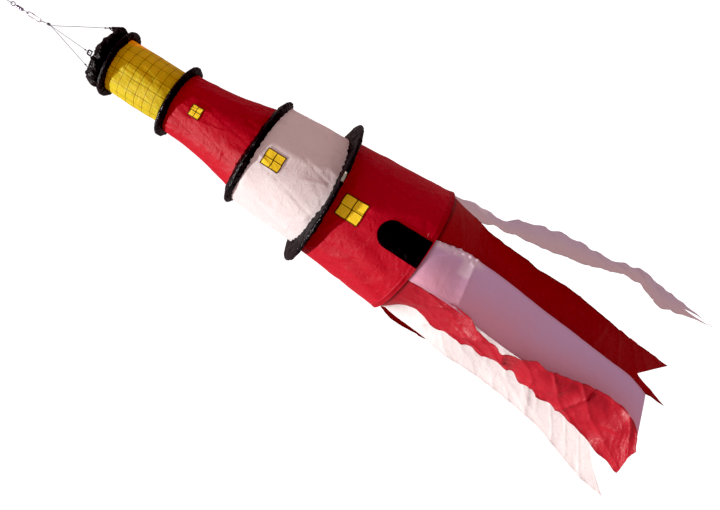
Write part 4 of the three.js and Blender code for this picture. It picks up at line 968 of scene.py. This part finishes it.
# how far each long edge swings back (mm along Y) between its root and its free end
TURNED_END = {"streamer_white_left": (16, -22)}
LOOSE = {"streamer_white_right": (0, 0, 0, 1), "streamer_white_left": (16, -30, 1, 6), "streamer_white_front": (-8, 20, 0, 1.4), "streamer_red_front_left": (-30, -12, 1, 4), "streamer_red_front_right": (18, 0, 0, 2)}
for si, st in enumerate(STREAMERS):
    name = st["name"]
    mat, size, angle, creases = LOOK[name]
    A, B = np.array(st["a"], float), np.array(st["b"], float)
    back_a, back_b, begin, ramp = LOOSE.get(name, (0, 0, 1, 6))
    end_a, end_b = TURNED_END.get(name, (0, 0))
    for edge, dy, end in ((A, back_a, end_a), (B, back_b, end_b)):
        for i in range(11):
            ray = edge[i] - np.array([-6.1, -1131.8, -599.4])
            edge[i] = edge[i] + ray * ((dy * smooth((i - begin) / ramp) + end * smooth((i - 6.5) / 3.5)) / ray[1])
    for edge, i, move in NUDGE.get(name, []):
        (A if edge == "a" else B)[i] += move
    rows, cols = 176, 33
    w = np.linspace(0, 1, cols)[None]
    s = np.linspace(0, 1, rows)[:, None]
    la = np.linalg.norm(np.diff(A, axis=0), axis=1).sum()
    lb = np.linalg.norm(np.diff(B, axis=0), axis=1).sum()
    length = (la + lb) / 2
    tent = np.where(w < st["apex"], w / st["apex"], (1 - w) / (1 - st["apex"]))
    sp = s * (1 - st["notch"] / length * tent)
    th = math.radians(st["at"])
    out = np.array([math.sin(th), -math.cos(th), 0])
    P = curve_at(A, sp) * (1 - w[..., None]) + curve_at(B, sp) * w[..., None]
    chord = np.linalg.norm(A[0] - B[0])
    r0 = BASE["r"] - 0.8
    sag = r0 - math.sqrt(r0 * r0 - chord * chord / 4)
    bulge = sag * 4 * w * (1 - w) * np.maximum(0.12, 1 - sp * 6)
    P = P + out * bulge[..., None]
    N = grid_normals(P, False)
    flip = (N[2] @ out).sum() < 0
    Nout = -N if flip else N
    x, y = 102 * w + 0 * s, sp * length
    held = smooth(y / 30)
    free = smooth(y / 160)
    f1 = field(700 + si, 45, 130, angle, 14)
    f2 = field(720 + si, 22, 60, angle, 25)
    f3 = field(740 + si, 60, 200, 90, 8)
    g1 = np.exp(-np.abs(f1(x, y)) * 3.0)
    g2 = np.exp(-np.abs(f2(x, y)) * 3.5)
    if name == "streamer_white_right":       # the narrow end stays flat
        size = size * (1 - 0.85 * smooth((s - 0.82) / 0.13))
    d = size * held * ((0.6 + 0.9 * free) * 1.3 * g1 + 0.55 * g2 + 0.8 * free * f3(x, y) * 0.6 + 0.12 * f2(x, y))
    # the edges, heavier with their hems, flute more than the middle
    e = np.minimum(w, 1 - w) * 102
    flute = field(760 + si, 28, 75, 90, 4)
    d = d + size * 0.9 * held * free * np.exp(-e / 9) * flute(x, y)
    if name == "streamer_red_front_left":   # its right edge and its end corner curl back
        d = d - 15 * smooth((w - 0.62) / 0.38) ** 1.6 * np.exp(-((s - 0.66) / 0.17) ** 2) - 9 * smooth((w - 0.72) / 0.28) ** 1.5 * smooth((s - 0.9) / 0.08) - 4 * smooth((w - 0.7) / 0.3) ** 1.5 * np.exp(-((s - 0.18) / 0.09) ** 2)
    if name == "streamer_white_front":     # crumpled along its right edge below the seam
        d = d + held * smooth((w - 0.80) / 0.2) * np.exp(-((s - 0.10) / 0.085) ** 4) * (2.0 * field(771, 7, 22, 60, 40)(x, y))
    for c in creases:
        d = d + held * crease(x, y, *c)
    d = d - (d * held).mean() * held
    P = P + Nout * d[..., None]
    # the roots meet edge to edge, sewn inside the foot of the tower
    side = (B[0] - A[0]) / np.linalg.norm(B[0] - A[0])
    P = P + side * ((2 * w - 1) * 1.35 * np.exp(-y / 18.0))[..., None]
    P = P - (out * 1.6)[None, None] * np.exp(-y / 14.0)[..., None]
    top = P[0] + np.stack([-0.4 * out[0] + 0 * w[0], -0.4 * out[1] + 0 * w[0], 8.5 + 0 * w[0]], -1)
    extra = np.stack([top * (1 - q) + P[0] * q for q in (0, 0.35, 0.7)])
    P = np.concatenate([extra, P])
    x = np.concatenate([x[:1]] * 3 + [x])
    y = np.concatenate([y[:1] - 8.5, y[:1] - 5.5, y[:1] - 2.5, y])
    N = grid_normals(P, False)
    uv = np.stack([x * MM, y * MM], -1)
    hem = np.stack([np.minimum(x, 102 - x) * MM, y * MM], -1)
    across = x / 102
    # painted highlight: a lighter patch along the right edge below the seam and beside the crease, used by the tinted
    # white streamers
    painted_highlight = smooth((x - 82) / 14) * smooth((118 - y) / 30) + 0.8 * smooth((x - 62 + (92 - y) * 1.5) / 8) * smooth((92 - y) / 3) * smooth((y - 62) / 10) * smooth((x - 55) / 8)
    painted_highlight = np.clip(painted_highlight, 0, 1)
    # root marks the first 9 mm for the painted shade at the seam; across carries the painted shade across the streamer
    ob = cloth(name + "_cloth", P, 0.32, N=(-N if flip else N), uv=uv, hem=hem, mats=[M[mat]], attrs={"across": across, "root": smooth((9 - y) / 8), "painted_highlight": painted_highlight}, flip=flip)
    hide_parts(name)
    j = next(q for q in frame["joints"] if q["child"] == name)
    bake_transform(ob)


# ------------------------------------------------------------------ cords and hardware
def joined(parts):
    verts, faces, uvs, n = [], [], [], 0
    for v, f, u in parts:
        verts.append(v)
        faces += [tuple(int(i) + n for i in q) for q in f]
        uvs.append(u)
        n += len(v)
    return np.concatenate(verts), faces, np.concatenate(uvs)


def lathe(profile, segments=40):
    """A solid of revolution round Z from (radius, z) pairs that start and end on the axis."""
    a = np.linspace(0, 2 * np.pi, segments, endpoint=False)
    inner = profile[1:-1]
    verts = [np.array([[0, 0, profile[0][1]]])]
    for r, z in inner:
        verts.append(np.stack([r * np.cos(a), r * np.sin(a), np.full(segments, z)], -1))
    verts.append(np.array([[0, 0, profile[-1][1]]]))
    v = np.concatenate(verts)
    faces = []
    last = len(v) - 1
    for j in range(segments):
        faces.append((0, 1 + j, 1 + (j + 1) % segments))
        b = 1 + (len(inner) - 1) * segments
        faces.append((last, b + (j + 1) % segments, b + j))
    for i in range(len(inner) - 1):
        for j in range(segments):
            p, q = 1 + i * segments + j, 1 + i * segments + (j + 1) % segments
            faces.append((p, p + segments, q + segments, q))
    uv = np.stack([np.arctan2(v[:, 1], v[:, 0]) / (2 * np.pi), v[:, 2] * MM], -1)
    c = v.mean(0)
    vol = sum(np.dot(v[f[0]] - c, np.cross(v[f[1]] - c, v[f[2]] - c)) for f in faces)
    if vol < 0:
        faces = [f[::-1] for f in faces]
    return v, faces, uv


def torus(R, r, plane, centre, n=48, m=14):
    a = np.linspace(0, 2 * np.pi, n, endpoint=False)
    c = np.array(centre, float)
    verts, faces = [], []
    for t in a:
        d = np.array([math.sin(t), 0, math.cos(t)]) if plane == "xz" else np.array([0, math.sin(t), math.cos(t)])
        side = np.array([0, 1, 0]) if plane == "xz" else np.array([1, 0, 0])
        ph = np.linspace(0, 2 * np.pi, m, endpoint=False)
        verts.append(c + d * R + r * (np.cos(ph)[:, None] * d + np.sin(ph)[:, None] * side))
    v = np.concatenate(verts)
    for i in range(n):
        for j in range(m):
            p, q = i * m + j, i * m + (j + 1) % m
            p2, q2 = ((i + 1) % n) * m + j, ((i + 1) % n) * m + (j + 1) % m
            faces.append((p, q, q2, p2))
    vol = sum(np.dot(v[f[0]] - c, np.cross(v[f[1]] - c, v[f[2]] - c)) for f in faces)
    if vol < 0:
        faces = [f[::-1] for f in faces]
    return v, faces, np.zeros((len(v), 2))


def closed_tube(points, r, sides=10, groove=0.0, twist=0.0):
    """A tube along a closed loop of points."""
    p = np.asarray(points, float)
    v, f, uv = tube_mesh(np.concatenate([p, p[:1]]), r, sides, cap=False, groove=groove, twist=twist)
    n = len(p) * sides
    # close the loop by the nearest way round
    d = [np.linalg.norm(v[n + 0] - v[j]) for j in range(sides)]
    shift = int(np.argmin(d))
    f = [tuple(i if i < n else (i - n + shift) % sides for i in q) for q in f]
    return v[:n], f, uv[:n]


def trefoil(scale, high, centre, axis, r, n=120):
    t = np.linspace(0, 2 * np.pi, n, endpoint=False)
    k = np.stack([np.sin(t) + 2 * np.sin(2 * t), np.cos(t) - 2 * np.cos(2 * t), -np.sin(3 * t)], -1) * [scale, scale, high]
    z = np.array(axis, float) / np.linalg.norm(axis)
    x = np.cross([0.3, 1, 0.2], z)
    x /= np.linalg.norm(x)
    y = np.cross(z, x)
    return closed_tube(k @ np.stack([x, y, z]) + np.array(centre, float), r, 10, groove=0.16, twist=1.6)


def piece(name, data, mat, node, slot, body, fix=True):
    v, f, uv = data
    ob = mesh_object(name, v, f, uv={"UVMap": uv}, mats=[M[mat]])
    if fix:
        import bmesh
        bm = bmesh.new()
        bm.from_mesh(ob.data)
        bmesh.ops.recalc_face_normals(bm, faces=bm.faces)
        bm.to_mesh(ob.data)
        bm.free()
    for q in ([node] if isinstance(node, str) else node):
        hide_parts(q)
    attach(ob, body)
    return ob


hang_knot = piece("hang_knot_tied", trefoil(0.56, 1.7, (0, 0, -29.5), (0, 0, 1), 0.72), "cord", "hang_knot", "black_cord", "hanger")
bridle_knot = piece("bridle_knot_tied", trefoil(0.66, 2.2, KNOT, (0, 0, 1), 0.86), "cord", "bridle_knot", "black_cord", "head")

route = spline([(0, -0.5, -29.2), (0, -1.4, -32.8), (0, -2.0, -36), (0, -2.5, -40), (0, -1.9, -42.6), (0, 0, -43.9), (0, 1.9, -42.6), (0, 2.5, -40), (0, 2.0, -36), (0, 1.4, -32.8),
                (0.6, 0.5, -29.5), (1.5, 0, -26.2), (2.6, 0, -21), (5.2, 0, -13), (5.2, 0, -6.2), (0, 0, -0.65), (-5.2, 0, -6.2), (-5.2, 0, -13), (-2.6, 0, -21), (-1.5, 0, -26.2), (-0.7, -0.3, -29.0)], 0.45)
v, f, uv = tube_mesh(route, 0.6, 12, twist=1.9, groove=0.2)
hang_cord = mesh_object("hanging_cord", v, f, uv={"UVMap": uv}, mats=[M["cord"]])
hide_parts("hang_loop_cord", "swivel_cord")
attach(hang_cord, "hanger")

snap_loop = [(2.2, -0.6, -109.0), (2.0, -1.2, -105.4), (1.4, -2.1, -101.5), (0.4, -2.2, -97.4), (0, -1.5, -95.3), (0, 0, -94.7), (0, 1.5, -95.3), (0.4, 2.2, -97.4), (1.4, 2.1, -101.5), (2.0, 1.2, -105.4)]
for n, deg in enumerate(BRIDLE_AT, 1):
    an = math.radians(deg)
    c, s = math.cos(an), math.sin(an)
    d = np.array([s, -c, 0])
    edge = MOUTH_R - 0.7
    bar = np.array([AX + s * edge, -c * edge, MOUTH_Z + MOUTH_TY * (-c * edge) + 10.2])
    start = KNOT - [0, 0, 3.0]
    along = (bar - start) / np.linalg.norm(bar - start)
    foot = bar + 3.6 * along
    knot = foot - 11 * along
    q = lambda u, w: knot + along * u + d * w
    pts = (snap_loop + [(2.5, 0.4, -109.2)] if n == 1 else [tuple(KNOT + [0, 0, 0.5])]) + [
        tuple(start + 2.9 * along), tuple(start + (knot - start) * 0.5), tuple(q(-2.6, 0)), tuple(q(0.2, -0.25)), tuple(q(2.7, -0.6)), tuple(q(6, -1.2)), tuple(q(9.6, -1.5)), tuple(q(11.6, -1.1)),
        tuple(q(12.4, 0)), tuple(q(11.6, 1.1)), tuple(q(9.6, 1.5)), tuple(q(6, 1.2)), tuple(q(2.7, 0.6)), tuple(q(0.6, 0.3))]
    route = spline(pts, 0.5)
    v, f, uv = tube_mesh(route, 0.52, 10, twist=2.0, groove=0.22)
    ob = mesh_object(f"bridle_line_{n}_cord", v, f, uv={"UVMap": uv}, mats=[M["cord"]])
    k = piece(f"bridle_line_knot_{n}_tied", trefoil(0.36, 1.1, knot, along, 0.56), "cord", f"bridle_line_knot_{n}", "black_cord", "head")
    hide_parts(f"bridle_line_{n}", f"bridle_line_eye_{n}", *(["bridle_loop_cord"] if n == 1 else []))
    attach(ob, "head")
    tab = frame["nodes"][f"bridle_tab_{n}"]
    tab.data.materials.clear()
    tab.data.materials.append(M["black"])
    b = tab.modifiers.new("bevel", "BEVEL")
    b.width, b.segments, b.limit_method = 0.00035, 3, "ANGLE"

# swivel and snap
barrel = lathe([(0, -51.0), (1.15, -51.0), (1.55, -51.1), (1.9, -51.35), (2.35, -51.9), (2.62, -52.6), (2.7, -53.3), (2.7, -54.4), (2.55, -54.7), (2.55, -55.0), (2.7, -55.3), (2.7, -59.7), (2.55, -60.0), (2.55, -60.3), (2.7, -60.6), (2.7, -61.7), (2.62, -62.4), (2.35, -63.1), (1.9, -63.65), (1.55, -63.9), (1.15, -64.0), (0, -64.0)], 48)
piece("swivel_barrel_body", barrel, "brass", "swivel_barrel", "dark_metal", "swivel_barrel")
stem_up = lathe([(0, -48.3), (0.7, -48.3), (0.7, -51.6), (0.62, -52.0), (0, -52.0)], 20)
piece("swivel_upper_eye_ring", joined([torus(3.4, 0.7, "xz", (0, 0, -45.2)), stem_up]), "brass", "swivel_upper_eye", "dark_metal", "hanger")
stem_low = lathe([(0, -63.0), (0.62, -63.0), (0.7, -63.4), (0.7, -66.7), (0, -66.7)], 20)
piece("swivel_lower_eye_ring", joined([torus(3.4, 0.7, "yz", (0, 0, -69.8)), stem_low]), "brass", "swivel_lower_eye", "dark_metal", "swivel_lower")
wv = 3.1
hook = spline([(wv, 0, -79.8), (wv, 0, -74.8), (2.2, 0, -72.3), (0, 0, -71.4), (-2.2, 0, -72.3), (-wv, 0, -74.8), (-wv, 0, -84), (-wv, 0, -93.2), (-2.2, 0, -95.6), (0, 0, -96.5), (2.2, 0, -95.6), (wv, 0, -93.4), (wv, 0, -91.6)], 0.5)


def block(cx, cy, cz, sx, sy, sz, bev=0.18):
    """A small box with rounded edges."""
    import bmesh
    bm = bmesh.new()
    bmesh.ops.create_cube(bm, size=1.0)
    bmesh.ops.scale(bm, vec=(sx, sy, sz), verts=bm.verts)
    bmesh.ops.bevel(bm, geom=list(bm.edges), offset=bev, segments=3, affect="EDGES")
    bmesh.ops.translate(bm, vec=(cx, cy, cz), verts=bm.verts)
    bm.verts.ensure_lookup_table()
    v = np.array([q.co for q in bm.verts], float)
    f = [tuple(q.index for q in face.verts) for face in bm.faces]
    bm.free()
    return v, f, np.zeros((len(v), 2))


def along_y(data, cx, cz):
    v, f, u = data
    v = np.stack([v[:, 0] + cx, v[:, 2], -v[:, 1] + cz], -1)
    return v, f, u


pin = along_y(lathe([(0, -2.0), (0.62, -2.0), (0.7, -1.8), (0.7, -1.6), (0.45, -1.55), (0.45, 1.55), (0.7, 1.6), (0.7, 1.8), (0.62, 2.0), (0, 2.0)], 20), wv, -81.4)
body = joined([tube_mesh(hook, 0.75, 16), block(wv, -1.25, -80.6, 2.2, 0.6, 3.4), block(wv, 1.25, -80.6, 2.2, 0.6, 3.4), block(wv, 0, -79.3, 2.2, 3.1, 0.9), pin])
piece("snap_wire_body", body, "wire", "snap_body", "bright_wire", "snap")
bar_pts = np.array([(wv, 0, z) for z in np.linspace(-82.5, -91.0, 24)])
rad_bar = np.full(24, 0.62)
rad_bar[-1] = 0.40
rad_bar[-2] = 0.56
knuckle = []
pr = [(1.15, -0.65), (1.15, 0.65), (0.6, 0.65), (0.6, -0.65)]
aa = np.linspace(0, 2 * np.pi, 28, endpoint=False)
kv = np.concatenate([np.stack([wv + r * np.cos(aa), np.full(28, y), -81.4 + r * np.sin(aa)], -1) for r, y in pr])
kf = [(i * 28 + j, i * 28 + (j + 1) % 28, ((i + 1) % 4) * 28 + (j + 1) % 28, ((i + 1) % 4) * 28 + j) for i in range(4) for j in range(28)]
gate = joined([tube_mesh(bar_pts, rad_bar, 16), (kv, kf, np.zeros((len(kv), 2)))])
piece("snap_gate_wire", gate, "wire", "snap_gate", "bright_wire", "snap_gate")

# ------------------------------------------------------------------ stage and light
floor_z = -1.74
profile = [(0.0, floor_z), (2.2, floor_z)]
for i in range(1, 13):
    q = i / 12 * math.pi / 2
    profile.append((2.2 + 1.9 * math.sin(q), floor_z + 1.9 * (1 - math.cos(q))))
profile += [(4.1, 2.6)]
seg = 96
vv, ff = [], []
for r, z in profile:
    for j in range(seg):
        q = 2 * math.pi * j / seg
        vv.append(((r + 1e-4) * math.cos(q), (r + 1e-4) * math.sin(q), z))
for i in range(len(profile) - 1):
    for j in range(seg):
        ff.append((i * seg + j, i * seg + (j + 1) % seg, (i + 1) * seg + (j + 1) % seg, (i + 1) * seg + j))
me = bpy.data.meshes.new("backdrop")
me.from_pydata(vv, [], ff)
me.polygons.foreach_set("use_smooth", np.ones(len(me.polygons), bool))
backdrop = link("backdrop", me)
mb, g = new_material("backdrop_paper")
diff = g.add("ShaderNodeBsdfDiffuse", {"Color": (0.20, 0.20, 0.20)})
emit = g.add("ShaderNodeEmission", {"Color": (0.97, 0.985, 1.0), "Strength": 0.93})
add = g.add("ShaderNodeAddShader")
g.tree.links.new(diff.outputs[0], add.inputs[0])
g.tree.links.new(emit.outputs[0], add.inputs[1])
g.finish(add.outputs[0])
me.materials.append(mb)
backdrop.visible_diffuse = False
backdrop.visible_shadow = False
backdrop.visible_glossy = False
backdrop.visible_transmission = False

world = bpy.data.worlds.new("studio")
SCENE.world = world
world.use_nodes = True
world.node_tree.nodes["Background"].inputs[0].default_value = (1.0, 0.72, 0.71, 1)
world.node_tree.nodes["Background"].inputs[1].default_value = 0.66

key_dir = Vector((-0.7538, -0.2290, 0.6157)).normalized()
key_data = bpy.data.lights.new("key", "SUN")
key_data.energy = 5.1
key_data.angle = math.radians(3.0)
key_data.color = (1.0, 0.985, 0.96)
key = bpy.data.objects.new("key", key_data)
key.rotation_mode = "QUATERNION"
key.rotation_quaternion = key_dir.to_track_quat("Z", "Y")
SCENE.collection.objects.link(key)

SCENE.view_settings.view_transform = "Standard"
SCENE.view_settings.look = "None"
SCENE.view_settings.exposure = 0.0
SCENE.view_settings.gamma = 1.0
SCENE.view_settings.use_curve_mapping = True
SCENE.view_settings.curve_mapping.black_level = (0.012, 0.010, 0.010)
SCENE.view_settings.curve_mapping.update()
